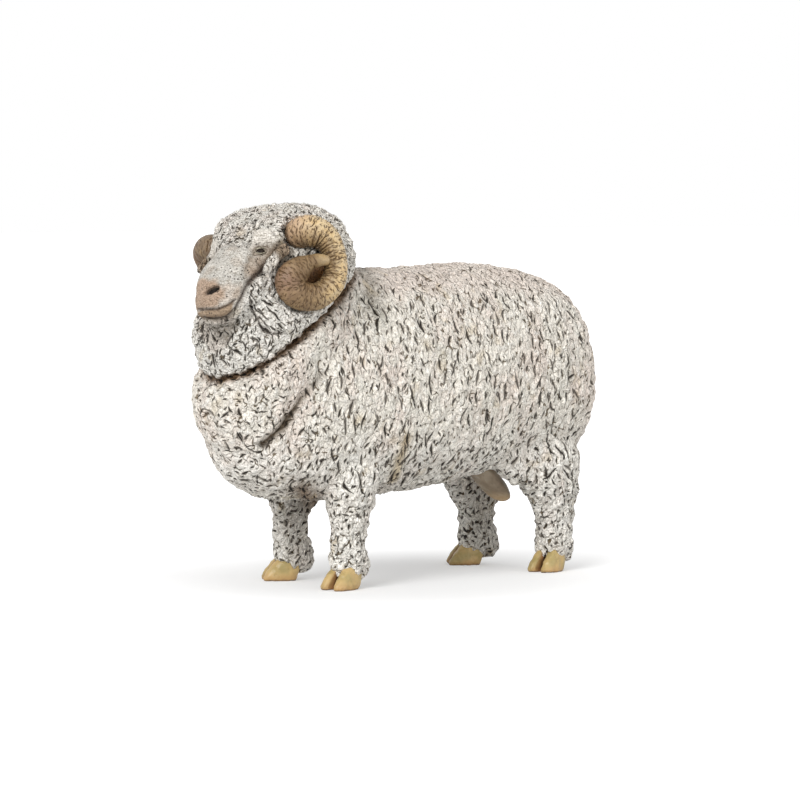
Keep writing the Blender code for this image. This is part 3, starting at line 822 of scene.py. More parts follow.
# The head, by the pixels of its near half.
HEAD_VOXEL = 0.27
HEAD_TURNS = 70
HEAD_FINE = 1.08
EYE = (261.5, 249.5)
FACE = (
    (213, 246), (222, 243), (236, 246), (246, 246), (252, 243), (252, 236), (258, 231), (270, 231),
    (278, 239), (278, 249), (271, 259), (262, 270), (252, 279), (244, 296), (237, 310), (229, 319),
    (206, 320), (196, 312), (188, 290), (198, 262),
)
MUZZLE = ((186, 281), (202, 278), (214, 280), (222, 287), (224, 297), (219, 306), (194, 310))
LIP = ((194, 310), (214, 310), (226, 306), (234, 302), (233, 312), (222, 318), (202, 318))
UNDER_CHIN = ((196, 317), (234, 313), (238, 322), (233, 336), (224, 350), (210, 352), (200, 338))
FRECKLES = ((224, 262), (244, 262), (244, 276), (240, 290), (226, 288))
PINK_CHEEK = ((220, 287), (242, 284), (242, 298), (234, 303), (222, 305))
CHEEK_HOLLOW = ((249, 256), (262, 256), (262, 264), (252, 275), (245, 276))
WHITE_BROW = ((253, 246), (253, 236), (259, 231), (270, 231), (277, 239), (275, 245), (266, 241), (258, 243))
NOSTRIL = (
    (204.4, 293.4), (208, 289), (213, 286.5), (218.9, 285.6), (218.7, 288.9), (215.3, 291.5), (210.5, 294.3),
    (205.8, 295),
)
LOCK = ((247, 296), (262, 291), (280, 305), (292, 322), (286, 333), (268, 334), (261, 327), (253, 312))
HOLE_SPOT = ((311, 276), (319, 275), (328, 273))
EYE_LINE = ((258, 250), (265, 249.5))
BROW = ((254, 241), (261, 235.5), (269, 235), (275, 240))
CHEEK_RIDGE = ((276, 249), (266, 261), (254, 274))
NOSTRIL_WING = ((204, 287.5), (212, 284.5), (220, 283.5))
NOSTRIL_SILL = ((207, 297), (218, 294))
LIP_ROLL = ((206, 314), (219, 313.5), (229, 309))
MOUTH = ((196, 309), (202, 309.6), (218, 309.2), (227.8, 305), (234.7, 300.4))
CHEEK_EDGE = ((278, 251), (268, 263), (261.5, 271), (251, 279), (246, 288), (242.4, 297), (235.5, 310))
CAP_EDGE = ((216, 243.5), (226, 243.5), (238, 246), (250, 244))
TEAR = ((254, 254), (248, 262), (245.4, 270), (245, 277))
CHIN_GAP = ((203, 318.5), (214, 320), (226, 318), (233, 312))
LOCK_EDGE = ((250, 305), (258.5, 320), (262, 328), (268, 333.5), (281, 334))
LID_SHADOW = ((255, 247), (259, 245), (265, 245.5), (269, 249))
CHEEK_SHADE = ((273, 257), (263, 267), (254, 276), (250, 282))
# Each row: a line, how high or deep the face is formed there, and over what width.
FACE_RIDGES = (
    (BROW, 0.95, 1.7), (CHEEK_RIDGE, 0.55, 1.1), (NOSTRIL_WING, 0.4, 0.8), (NOSTRIL_SILL, 0.3, 1.0),
    (LIP_ROLL, 0.45, 1.2),
)
FACE_GROOVES = (
    (EYE_LINE, 1.1, 1.9), (CHEEK_EDGE, 0.7, 0.75), (CAP_EDGE, 0.45, 0.6), (MOUTH, 0.5, 0.36),
    (CHIN_GAP, 0.8, 0.8), (LOCK_EDGE, 0.7, 0.7), (TEAR, 0.45, 0.9),
)
# Each row, from the lowest coat: a colour, how thick it lies, how it is laid, the pixels of its outline or
# line, and how soft the outline or how wide the line is. A ring is laid around its line, not on it.
FACE_PAINT = (
    (FACE_TAN, 0.6, "patch", CHEEK_HOLLOW, 3.0), (FACE_TAN, 0.75, "line", CHEEK_RIDGE, 1.0),
    (PINK, 0.3, "patch", PINK_CHEEK, 4.0), (PINK, 0.9, "patch", MUZZLE, 3.0),
    # The brown under the chin is painted shade, laid on the near side only.
    (LIP_TAN, 0.95, "patch", LIP, 1.5), (CHIN_SHADE_BROWN, 0.5, "chin_shade", UNDER_CHIN, 4.0),
    (BROW_WHITE, 0.95, "patch", WHITE_BROW, 1.5), (FACE_BROWN, 0.45, "line", TEAR, 0.6),
    (FACE_TAN, 0.7, "line", EYE_LINE, 1.6), (FACE_BROWN, 0.75, "ring", EYE_LINE, 0.2),
    (SHADE_BROWN, 0.8, "line", CHEEK_SHADE, 1.1), (FACE_BROWN, 0.7, "line", LID_SHADOW, 0.3),
    (DARK_LINE, 0.9, "line", CHEEK_EDGE, 0.45), (DARK_LINE, 0.35, "line", CAP_EDGE, 0.4),
    (DARK_LINE, 0.9, "line", CHIN_GAP, 0.45), (DARK_LINE, 0.9, "line", LOCK_EDGE, 0.42),
    (NOSTRIL_DARK, 1.0, "opening", NOSTRIL, 0.8), (DARK_LINE, 0.95, "line", MOUTH, 0.3),
)
RING_REACH = 1.15
FACE_STEP = 0.7
NOSTRIL_DEPTH = 1.2
NOSTRIL_SLOPE = 1.4
WOOL_SWELL = 0.4
LOCK_SOFT = 3.0
LOCK_RISE = 0.4
LOCK_LEAN = 0.9
# Each row: a pixel by the far outline, how far in and how far up and down it reaches, the millimetres it goes
# in, and where on the head it starts, from the face's middle.
FAR_EDGE = (((207, 248), 16.0, 18.0, 1.6, 0.0), ((193, 297), 9.0, 17.0, 0.4, -5.0))
# The size and the strength of the wobbles that outlines and the face's patches follow.
EDGE_WOBBLE, PATCH_WOBBLE = (1.6, 1.3), (1.9, 1.0)
TOWARDS_EYE = (-0.35, 0.1)
FACE_AHEAD, WOOL_AHEAD = (6.0, 9.0), (9.0, 13.0)
HOLE_EDGE = (2.6, 4.2)
LOWER_HEAD, LONGS_BELOW = (2.0, 9.0), (4.0, 10.0)
# What the whole head has, and what its lower part and the lock behind the cheek add: how orderly the slits
# lie, the share of long and of short ones, how bold they are, and how short.
HEAD_STYLE = ((0.22, 0.22, 0.97, 1.2, 0.8), (-0.14, 0.0, -0.3, -0.05, -0.22), (0.7, 0.5, -0.35, 0.0, -0.15))


def wobble(points, size, amount):
    """A smooth uneven push, the same each time, for edges that aren't to be straight."""
    x, y, z = (points / size).T
    first = np.sin(1.7 * x + 2.3 * z) + np.sin(2.9 * y - 1.1 * x) + 0.6 * np.sin(4.3 * z + 3.1 * y + 1.0)
    second = np.sin(2.1 * z - 1.3 * y) + np.sin(2.7 * x + 1.9 * y) + 0.6 * np.sin(4.7 * x - 3.3 * z + 2.0)
    return amount * np.stack([first, second], axis=-1) / 2.0


class Face:
    """The points of the head, with the far half folded onto the near one to be seen by the camera."""

    def __init__(self, mesh):
        self.mesh, self.tree = mesh, tree_of(mesh)
        self.points, self.normals = read_points(mesh), read_normals(mesh)
        local = head_local(self.points)
        self.ahead, self.right, self.below = -local[:, 0], local[:, 1] - face_middle(local), -local[:, 2]
        self.far = far = self.right > 0.0
        folded, facing = self.points.copy(), self.normals.copy()
        folded[far] = far_side(self.points[far])
        facing[far] -= 2.0 * (facing[far] @ HEAD_ACROSS)[:, None] * HEAD_ACROSS
        self.exact = pixels_of(folded)
        self.seen = self.exact + wobble(self.points, *EDGE_WOBBLE)
        self.front = ease(facing @ np.array(view_back), *TOWARDS_EYE) * ease(self.ahead, *FACE_AHEAD)
        self.skin, self.lock = self.region(FACE, 2.0), self.region(LOCK, LOCK_SOFT)
        self.hole = 1.0 - ease(self.away_from(HOLE_SPOT), *HOLE_EDGE)
        self.grooves = {pixels: self.away_from(pixels) for pixels, _, _ in FACE_GROOVES}

    def away_from(self, pixels):
        """How far each point is from a line of pixels, on either half."""
        near = line_on(self.tree, pixels, FACE_STEP)
        return distance_to(self.points, np.concatenate([near, far_side(near)]))

    def region(self, corners, soft):
        return inside(self.seen, corners, soft) * self.front

    def form(self):
        """Raises the ridges of the face, sinks its grooves and draws in its far outline."""
        moves = WOOL_SWELL * (1.0 - self.skin) * ease(self.ahead, *WOOL_AHEAD) + LOCK_RISE * self.lock
        for pixels, rise, width in FACE_RIDGES:
            moves += rise * bell(self.away_from(pixels), width)
        for pixels, depth, width in FACE_GROOVES:
            moves -= depth * bell(self.grooves[pixels], width)
        moves -= NOSTRIL_DEPTH * inside(self.exact, NOSTRIL, NOSTRIL_SLOPE) * self.front
        self.points = self.points + self.normals * moves[:, None]
        place = pixels_of(self.points)
        for (across, down), reach, tall, inward, start in FAR_EDGE:
            narrow = ease(self.right - start, 0.0, 3.0) * ease(-place[:, 0], -across - reach, -across)
            narrow *= bell(place[:, 1] - down, tall)
            self.points = self.points + (inward * narrow)[:, None] * np.array(view_right)
        self.whole = place + wobble(self.points, *EDGE_WOBBLE)
        write_points(self.mesh, self.points)
        self.normals = read_normals(self.mesh)

    def mask(self, way, pixels, size):
        """Where a coat of paint lies, by the way it is laid."""
        if way == "patch":
            return self.region(pixels, size)
        # Painted shade under the chin: laid by the pixels where the points truly are, so on the near side
        # only, and on points facing the camera.
        if way == "chin_shade":
            towards = ease(self.normals @ np.array(view_back), *TOWARDS_EYE)
            return inside(self.whole, pixels, size) * towards
        if way == "opening":
            return inside(self.exact, pixels, size) * self.front
        away = self.grooves[pixels] if pixels in self.grooves else self.away_from(pixels)
        return bell(away - RING_REACH if way == "ring" else away, size)

    def paint(self, body_tree):
        """The coats of paint on the face, the stains in the seams, and painted shade in brown around the ears
        and in the hole beside the horn.
        """
        tint = Tint(len(self.points))
        patch = wobble(self.points, *PATCH_WOBBLE)
        tint.lay(FACE_WHITE, 0.92 * self.skin)
        tint.lay(BROW_WHITE, 0.5 * self.skin * ease(patch[:, 0], 0.1, 0.9))
        tint.lay(FACE_TAN, 0.3 * self.skin * ease(patch[:, 1], 0.2, 0.9))
        for colour, share, way, pixels, size in FACE_PAINT:
            tint.lay(colour, share * self.mask(way, pixels, size))
        low = np.flatnonzero(self.below > 0.0)
        seam = np.zeros(len(self.points))
        seam[low] = beside(self.points[low], body_tree)
        tint.lay(SEAM_BROWN, 0.9 * seam)
        # Painted shade: a brown rim on the head about the ears.
        tint.lay(FACE_BROWN, 0.8 * beside(self.points, tree_of(own_copy(("left_ear", "right_ear")))))
        # Painted shade: brown on the head in the hollow inside the horn's coil.
        tint.lay(HOLE_SHADE_BROWN, 0.95 * self.hole)
        return tint


def add_head(body_tree):
    """The head's wool and its bare face, as one carved surface."""
    mesh = soft_skin(("head",), HEAD_VOXEL, HEAD_TURNS)
    face = Face(mesh)
    face.form()
    tint = face.paint(body_tree)
    bare = np.clip(np.maximum(face.skin, face.hole), 0.0, 1.0)
    wool, lower = 1.0 - bare, ease(face.below, *LOWER_HEAD)
    tint.lay(WOOL_LIGHT, (0.45 + 0.4 * lower) * wool * (1.0 - tint.colour[:, 3]))
    fleck = 0.4 * face.skin + 0.8 * face.region(FRECKLES, 3.0)
    fleck *= (1.0 - face.region(MUZZLE, 3.0) * 0.6) * (1.0 - face.region(WHITE_BROW, 1.5))
    order, longs, shorts, bold, short = np.array(HEAD_STYLE).T @ [np.ones(len(bare)), lower, face.lock]
    longs *= wool * ease(face.below, *LONGS_BELOW)
    grain, side = tangents(face.normals, False)
    lean = (LOCK_LEAN * face.lock * np.where(face.far, -1.0, 1.0))[:, None]
    grain, side = grain * np.cos(lean) + side * np.sin(lean), side * np.cos(lean) - grain * np.sin(lean)
    # The wash here is a painted shade under the chin.
    paint = (bold, 0.3 * face.region(UNDER_CHIN, 4.0), bare)
    style = (order, longs, shorts * wool)
    keep_all(mesh, face.points * HEAD_FINE, grain * short[:, None], side, style, paint, tint)
    keep(mesh, "fleck", fleck, "FLOAT", "value")
    mesh = carve(mesh, 1.0, 1.1)
    finish_piece("head_wool", mesh, wool_material("head_paint", 1.0), ("head",))
    return face.tree


def mesh_of(points, faces, weld=False):
    """A mesh with its faces turned outwards, and with points in one place joined if it is to be welded."""
    mesh = bpy.data.meshes.new("made")
    mesh.from_pydata(points.tolist(), [], faces)
    shape = bmesh.new()
    shape.from_mesh(mesh)
    if weld:
        bmesh.ops.remove_doubles(shape, verts=shape.verts, dist=WELD)
    bmesh.ops.recalc_face_normals(shape, faces=shape.faces)
    shape.to_mesh(mesh)
    shape.free()
    return mesh


def ring_faces(rings, rounds):
    """The faces between rings of points, and the one that closes the first ring."""
    faces = [tuple(range(rounds))]
    for start in range(0, (rings - 1) * rounds, rounds):
        for step in range(rounds):
            ahead = (step + 1) % rounds
            faces.append((start + step, start + ahead, start + ahead + rounds, start + step + rounds))
    return faces


def tube(shape, path, sizes, rounds):
    """A closed tube along a path, with a radius for each of its spots."""
    rings = []
    for number, (spot, size) in enumerate(zip(path, sizes)):
        ahead = (path[min(number + 1, len(path) - 1)] - path[max(number - 1, 0)]).normalized()
        first = (first - ahead * first.dot(ahead)).normalized() if rings else ahead.orthogonal().normalized()
        second = ahead.cross(first)
        ring = []
        for step in range(rounds):
            turn = 2 * math.pi * step / rounds
            ring.append(shape.verts.new(spot + (first * math.cos(turn) + second * math.sin(turn)) * size))
        rings.append(ring)
    for one, two in zip(rings[:-1], rings[1:]):
        for step in range(rounds):
            ahead = (step + 1) % rounds
            shape.faces.new((one[step], one[ahead], two[ahead], two[step]))
    shape.faces.new(list(reversed(rings[0])))
    shape.faces.new(rings[-1])


# The eyes: half the length and height of each, how far it stands out, and how deep it sits in its socket.
EYE_INNER, EYE_OUTER = (257.5, 250.3), (265.5, 249.3)
EYE_LONG, EYE_TALL, EYE_BULGE, EYE_SUNK = 1.2, 0.7, 0.6, 1.0
EYE_PINCH = 1.35
EYE_ROUNDS, EYE_RINGS = 28, 11
EYE_CLOUD, LID_CLOUD = 0.0006, 0.0009
# Each row: how high a lid arches, half its thickness, and how far it stands out.
LIDS = ((0.78, 0.22, -0.6), (-0.68, 0.17, -0.72))
LID_LONG = 1.4
LID_BOW = 0.9
LID_BULGE = 0.12
LID_STEPS, LID_ROUNDS = 24, 10


def eye_frame(tree):
    """The middle of the near eye, and its directions along, up and out."""
    centre, out = tree.ray_cast(view_eye, pixel_ray(EYE))[:2]
    inner, outer = (tree.ray_cast(view_eye, pixel_ray(pixel))[0] for pixel in (EYE_INNER, EYE_OUTER))
    along = (outer - inner).normalized()
    out = (out - along * out.dot(along)).normalized()
    rise = out.cross(along)
    return centre, along, rise if rise.z > 0 else -rise, out


def add_eyes(tree):
    """Two glossy dark eyes, each a low almond in its socket with an upper and a lower lid."""
    made, net = material("eye_paint", 0.25, 0.2)
    cloud = net.noise(net.join("ShaderNodeTexCoord", output="Object"), EYE_CLOUD, 2.0)
    eye_paint = finish_paint(made, net, net.mix(net.smooth(cloud, 0.3, 0.7), EYE_DARK, EYE_BROWN))
    made, net = material("lid_paint", 0.5)
    cloud = net.noise(net.join("ShaderNodeTexCoord", output="Object"), LID_CLOUD, 3.0)
    lid_colour = net.mix(net.smooth(cloud, 0.35, 0.65), LID_DARK, LID_PALE)
    lid_paint = finish_paint(made, net, lid_colour, cloud * 0.05)
    centre, along, rise, out = eye_frame(tree)
    turn = np.linspace(0.0, 2 * math.pi, EYE_ROUNDS, endpoint=False)
    lift = np.linspace(0.0, math.pi / 2, EYE_RINGS)[:, None]
    pinched = np.sign(np.sin(turn)) * np.abs(np.sin(turn)) ** EYE_PINCH
    shares = np.broadcast_arrays(
        EYE_LONG * np.cos(lift) * np.cos(turn), EYE_TALL * np.cos(lift) * pinched,
        EYE_BULGE * np.sin(lift) - EYE_SUNK,
    )
    eye = np.stack(shares, axis=-1).reshape(-1, 3) @ np.array([along, rise, out]) + np.array(centre)
    lids = bmesh.new()
    spans = [math.pi * step / LID_STEPS for step in range(LID_STEPS + 1)]
    for height, thick, stand in LIDS:
        path = []
        for span in spans:
            arch = math.sin(span) ** LID_BOW
            path.append(
                centre + along * (LID_LONG * math.cos(span)) + rise * (height * arch)
                + out * (stand + LID_BULGE * arch)
            )
        tube(lids, path, [thick * (0.35 + 0.65 * math.sin(span)) for span in spans], LID_ROUNDS)
    for name, far in (("left", False), ("right", True)):
        mesh = mesh_of(far_side(eye) if far else eye, ring_faces(EYE_RINGS, EYE_ROUNDS), weld=True)
        finish_piece(name + "_eye", mesh, eye_paint, ())
        mesh = bpy.data.meshes.new("lids")
        lids.to_mesh(mesh)
        if far:
            write_points(mesh, far_side(read_points(mesh)))
            mesh.flip_normals()
        finish_piece(name + "_eyelids", mesh, lid_paint, ())
    lids.free()


# The horns.
HORN_RADIUS = 12.0
HORN_MIDDLE = (-7.79, 15.72, -2.02)
HORN_YAW = math.radians(33.0)
# Each row: back, up and out from the middle of the coil, then half the thickness across and along its axis.
HORN_SHARES = (
    (0.20, 0.50, -0.62, 0.24, 0.26), (0.02, 0.63, -0.30, 0.30, 0.32), (0.18, 0.63, -0.10, 0.33, 0.32),
    (0.45, 0.46, -0.05, 0.28, 0.30),
    (0.59, 0.03, -0.03, 0.23, 0.28), (0.46, -0.44, 0.00, 0.25, 0.27), (0.09, -0.68, 0.00, 0.27, 0.27),
    (-0.31, -0.60, 0.02, 0.31, 0.27), (-0.44, -0.32, 0.05, 0.32, 0.26), (-0.22, -0.11, 0.08, 0.26, 0.24),
    (0.00, -0.01, 0.10, 0.16, 0.19), (0.20, 0.02, 0.10, 0.13, 0.15), (0.38, 0.00, 0.10, 0.10, 0.10),
)
FAR_TUCK = 0.17
HORN_RINGS = 420
HORN_SIDES = 56
HORN_FINE = 1.8
RIB_GAP = (0.8, 1.5)
RIB_DEEP = (0.6, 1.0)
RIB_WAVER = (0.2, 0.45)
RIB_WIDTH = 0.2
RIB_CUT = 0.5
RIBLESS_END = 7.0
# Where along a horn a part or a colour sets in or ends, and where it has done so in full: nothing is the root
# and one the tip. A rose spot is its middle and its width.
BANDS_FROM, BANDS_TO, RIBS_TO, TIP_FROM = (0.14, 0.22), (0.4, 0.52), (0.68, 0.86), (0.8, 0.92)
PINK_TO, BROWN_FROM, PALER_FROM, HOLLOW_TO = (0.1, 0.2), (0.42, 0.55), (0.82, 0.95), (0.8, 0.9)
TUCK_FROM, SHADED_TO = (0.2, 0.4), (0.3, 0.45)
ROSE_SPOT, FAR_ROSE_SPOT = (0.66, 0.05), (0.2, 0.04)
HORN_TAN = paint_of(210, 180, 130)
HORN_PALE = paint_of(224, 202, 162)
HORN_BROWN = paint_of(122, 98, 68)
HORN_PINK = paint_of(184, 152, 126)
HORN_ROSE = paint_of(138, 106, 94)
HORN_DARK = paint_of(96, 70, 42)
HORN_SHADED = paint_of(98, 84, 66)
HORN_STREAK, HORN_SPECK = (0.52, 0.72, 0.35), (0.58, 0.72, 0.35)


def along_rows(rows, share):
    """A row between the given ones, on a smooth curve through them."""
    reach = share * (len(rows) - 1)
    number = min(int(reach), len(rows) - 2)
    part = reach - number
    before, start, end, after = (
        np.array(rows[min(max(number + step, 0), len(rows) - 1)]) for step in (-1, 0, 1, 2)
    )
    if number == 0:
        before = 2 * start - end
    if number == len(rows) - 2:
        after = 2 * end - start
    return 0.5 * (
        2 * start + (end - before) * part
        + (2 * before - 5 * start + 4 * end - after) * part ** 2
        + (3 * start - before - 3 * end + after) * part ** 3
    )


def horn_material():
    """Tan paint with a brown wash in short cuts that run across the horn."""
    made, net = material("horn_paint", 0.45)
    cut, place = carving(net, 1.0), net.read("place")
    cuts = net.most(cut.long, cut.short)
    streak, speck = net.noise(place, 3.4, 4.0), net.noise(place, 0.7, 2.0)
    colour = net.mix(net.smooth(streak, 0.35, 0.7), HORN_TAN, HORN_PALE)
    thick = (net.read("tint", "Alpha") * (streak + 0.5)).clip()
    colour = net.mix(thick, colour, net.read("tint", "Color"))
    colour = net.blotch(colour, streak, HORN_STREAK, HORN_BROWN)
    colour = net.mix(veins(net, cut.spot, 1.3, 0.05) * 0.35, colour, HORN_BROWN)
    colour = net.blotch(colour, speck, HORN_SPECK, HORN_DARK)
    # Painted shade: brown just beside each cut.
    colour = net.mix(cut.shade * 0.4, colour, HORN_BROWN)
    worn = ((speck - 0.5) * 0.7 + cut.wash).clip() * net.smooth(cut.wash, 0.0, 0.3)
    colour = net.mix(net.most(worn, net.smooth(cuts, 0.04, 0.45)) * 0.88, colour, HORN_DARK)
    return finish_paint(made, net, colour, speck * 0.13 + streak * 0.2 + cuts * -0.36, 0.9)


def ribs_of(centres, side):
    """How deep the cuts across a horn lie, for each ring and turn: in uneven steps, and a little wavy."""
    length = np.concatenate([[0.0], np.cumsum(np.linalg.norm(np.diff(centres, axis=0), axis=1))])
    picks = np.random.default_rng(7 if side < 0 else 8)
    marks, spot = [], 1.0
    while spot < length[-1] - RIBLESS_END:
        marks.append((spot, picks.uniform(*RIB_DEEP)))
        spot += picks.uniform(*RIB_GAP)
    turn = np.linspace(0.0, 2 * math.pi, HORN_SIDES, endpoint=False)
    reach = length[:, None] + np.zeros(HORN_SIDES)
    for order in (1, 2, 3):
        phase = picks.uniform(0, 2 * math.pi)
        reach += picks.uniform(*RIB_WAVER) / order * np.sin(order * turn + phase)
    groove = np.zeros_like(reach)
    for mark, depth in marks:
        groove = np.maximum(groove, depth * bell(reach - mark, RIB_WIDTH))
    return groove


def add_horn(side, name, paint):
    cosine, sine = math.cos(HORN_YAW), math.sin(HORN_YAW)
    ahead, away, above = HORN_MIDDLE
    spots = (cosine, side * sine, 0), (-sine, side * cosine, 0), (0, 0, 1), (ahead, side * away, above)
    back, out, up, middle = (np.array(HEAD_TURN @ Vector(spot)) for spot in spots)
    middle += np.array(HEAD_PIVOT)
    share = np.linspace(0.0, 1.0, HORN_RINGS)
    rows = np.array([along_rows(HORN_SHARES, reach) for reach in share])
    if side > 0:
        rows[:, 2] -= FAR_TUCK * ease(share, *TUCK_FROM)
    centres = middle + HORN_RADIUS * (rows[:, :3] @ np.array([back, up, out]))
    run = unit(np.gradient(centres, axis=0))
    radial = unit(np.cross(run, out))
    wide = np.cross(radial, run)
    turn = np.linspace(0.0, 2 * math.pi, HORN_SIDES, endpoint=False)
    cosine, sine = np.cos(turn), np.sin(turn)
    facing_out = np.sign(np.median(np.einsum("ij,ij->i", radial, centres - middle)))
    inner = ease(-cosine * facing_out, -0.5, 0.8)
    bands = (ease(share, *BANDS_FROM) * (1.0 - ease(share, *BANDS_TO)))[:, None]
    ribs = (1.0 - ease(share, *RIBS_TO))[:, None]
    deep = ribs_of(centres, side) * ribs * (0.12 + 0.88 * inner * (0.45 + 0.55 * bands))
    high, broad = (HORN_RADIUS * rows[:, column, None] - RIB_CUT * deep for column in (3, 4))
    points = centres[:, None] + radial[:, None] * (high * cosine)[:, :, None]
    points = points + wide[:, None] * (broad * sine)[:, :, None]
    points = np.concatenate([points.reshape(-1, 3), [centres[-1] + run[-1] * (HORN_RADIUS * rows[-1, 3])]])
    tip, last = len(points) - 1, (HORN_RINGS - 1) * HORN_SIDES
    faces = ring_faces(HORN_RINGS, HORN_SIDES)
    faces += [(last + step, last + (step + 1) % HORN_SIDES, tip) for step in range(HORN_SIDES)]
    mesh = mesh_of(points, faces)
    along = np.append(np.repeat(share, HORN_SIDES), 1.0)
    within = np.append(np.tile(inner, HORN_RINGS), 0.0)
    brown, smooth_tip = ease(along, *BROWN_FROM), 1.0 - ease(along, *TIP_FROM)
    tint = Tint(len(points))
    tint.lay(HORN_PINK, 0.8 * (1.0 - ease(along, *PINK_TO)))
    tint.lay(HORN_BROWN, brown * (0.97 - 0.47 * ease(along, *PALER_FROM)))
    spot, width = ROSE_SPOT
    tint.lay(HORN_ROSE, 0.5 * bell(along - spot, width))
    # Browner on the side that faces into the coil: the horn's brown, and painted shade in the hollow.
    tint.lay(HORN_BROWN, 0.7 * within * (1.0 - ease(along, *HOLLOW_TO)))
    if side > 0:
        # Painted shade: the far horn is darker from its root, where it lies in shade.
        tint.lay(HORN_SHADED, 0.8 * (1.0 - ease(along, *SHADED_TO)))
        spot, width = FAR_ROSE_SPOT
        tint.lay(HORN_ROSE, 0.5 * bell(along - spot, width))
    normals = read_normals(mesh)
    grain = unit(np.cross(normals, np.append(np.repeat(run, HORN_SIDES, axis=0), run[-1:], axis=0)))
    style = (0.85, (0.5 + 0.05 * brown) * smooth_tip, (0.92 + 0.06 * brown) * smooth_tip)
    wash = 1.2 * np.append(deep.ravel(), 0.0)
    keep_all(mesh, points * HORN_FINE, grain, np.cross(normals, grain), style, (1.45, wash, 0.0), tint)
    finish_piece(name + "_coil", mesh, paint, (name,))


# The ears, the tail, the scrotum and the hooves.
EAR_VOXEL, TAIL_VOXEL, BAG_VOXEL, HOOF_VOXEL = 0.2, 0.25, 0.25, 0.2
EAR_SOFT, TAIL_SOFT, BAG_SOFT, HOOF_SOFT = 14, 12, 20, 22
SMALL_LUMPS = 0.6
PLAIN = (0.0, 0.0, 0.0)
EAR_SWELL = 0.2
EAR_SLIM = 0.78
EAR_ROOT_SHADE = (3.5, 6.5)
FAR_EAR = 0.45
BAG_SLANT = math.radians(-43.0)
BAG_LONG = 1.4
BAG_SLIM = 0.54
BAG_BACK = -0.4
BAG_FOOT = (-20.5, -17.8)
BAG_TAN = paint_of(186, 156, 116)
SKIN_GREY, SKIN_BROWN, SKIN_SPECK = paint_of(156, 142, 122), paint_of(128, 112, 92), paint_of(80, 64, 48)
HOOVES = ("front_left_hoof", "front_right_hoof", "hind_left_hoof", "hind_right_hoof")
HOOF_DEGREES = (-11.0, -9.0, -9.0, -9.0)
HOOF_NARROW = 0.83
HOOF_FORWARD = 0.6
HOOF_LOW = 0.9
HOOF_TALL = 6.2
HOOF_SLOPE = 0.36
HOOF_TAPER = 0.12
HOOF_OCHRE, HOOF_OLIVE, HOOF_RED = paint_of(186, 159, 106), paint_of(158, 141, 90), paint_of(140, 92, 56)
HOOF_WARM, HOOF_SOLE = paint_of(176, 134, 88), paint_of(84, 60, 40)


def dress_small(node, name, voxel, turns, paint, style, wear, tint_of, shape_of=None):
    """One small solid as a soft carved piece. Its tint and its shape come from the functions given."""
    mesh = soft_skin((node,), voxel, turns)
    if shape_of:
        write_points(mesh, shape_of(read_points(mesh), read_normals(mesh)))
    points, normals = read_points(mesh), read_normals(mesh)
    tint = Tint(len(points))
    tint_of(tint, points)
    keep_all(mesh, points, *tangents(normals, False), style, wear, tint)
    finish_piece(name, carve(mesh, 1.0, SMALL_LUMPS), paint, (node,))


def hoof_material():
    """Smooth ochre paint, olive in places, redder and darker towards the sole."""
    made, net = material("hoof_paint", 0.38, 0.45)
    place = net.read("place")
    height = net.split(place)[2]
    cloud, speck = net.noise(place, 4.0, 3.0), net.noise(place, 0.5, 3.0)
    colour = net.mix(net.smooth(cloud, 0.35, 0.68), HOOF_OCHRE, HOOF_OLIVE)
    colour = net.mix((1.0 - net.smooth(cloud * 2.0 + height, 0.8, 3.2)) * 0.6, colour, HOOF_WARM)
    colour = net.mix((1.0 - net.smooth(speck * 0.5 + height, 0.25, 0.8)) * 0.8, colour, HOOF_SOLE)
    colour = net.mix(net.read("tint", "Alpha"), colour, net.read("tint", "Color"))
    return finish_paint(made, net, colour, cloud * 0.25 + speck * 0.03, 0.6)


def skin_material():
    made, net = material("skin_paint", 0.5)
    place = net.read("place")
    mottle, speck = net.noise(place, 3.0, 4.0), net.noise(place, 0.6, 3.0)
    colour = net.mix(net.smooth(mottle, 0.35, 0.7), SKIN_GREY, SKIN_BROWN)
    colour = net.mix(net.read("tint", "Alpha"), colour, net.read("tint", "Color"))
    colour = net.blotch(colour, speck, (0.55, 0.75, 0.25), SKIN_SPECK)
    return finish_paint(made, net, colour, mottle * 0.2 + speck * 0.06, 0.7)


def ear_paint(tint, points):
    """Pale wool, with painted shade in brown at the root, under the horn."""
    root = points[np.argmax(points[:, 2])]
    tint.lay(BROW_WHITE, np.full(len(points), 0.9))
    tint.lay(GAP_SHADE_BROWN, 0.85 * (1.0 - ease(np.linalg.norm(points - root, axis=1), *EAR_ROOT_SHADE)))


def drawn_in(points, normals, size):
    """An ear a little swollen, and drawn in towards its root."""
    root, tip = points[np.argmax(points[:, 2])], points[np.argmin(points[:, 2])]
    run = (tip - root) / np.linalg.norm(tip - root)
    along = ((points - root) @ run)[:, None] * run
    return root + (along + (points - root - along) * EAR_SLIM) * size + normals * EAR_SWELL


def slimmer(points, _):
    """The scrotum drawn out along its slant and thinner across it."""
    middle = (points.min(axis=0) + points.max(axis=0)) / 2
    away = points - middle
    cosine, sine = math.cos(BAG_SLANT), math.sin(BAG_SLANT)
    along = (away[:, 0] * cosine + away[:, 2] * sine) * BAG_LONG
    off = (away[:, 2] * cosine - away[:, 0] * sine) * BAG_SLIM
    moved = points.copy()
    moved[:, 0] = middle[0] + BAG_BACK + along * cosine - off * sine
    moved[:, 2] = middle[2] + along * sine + off * cosine
    return moved


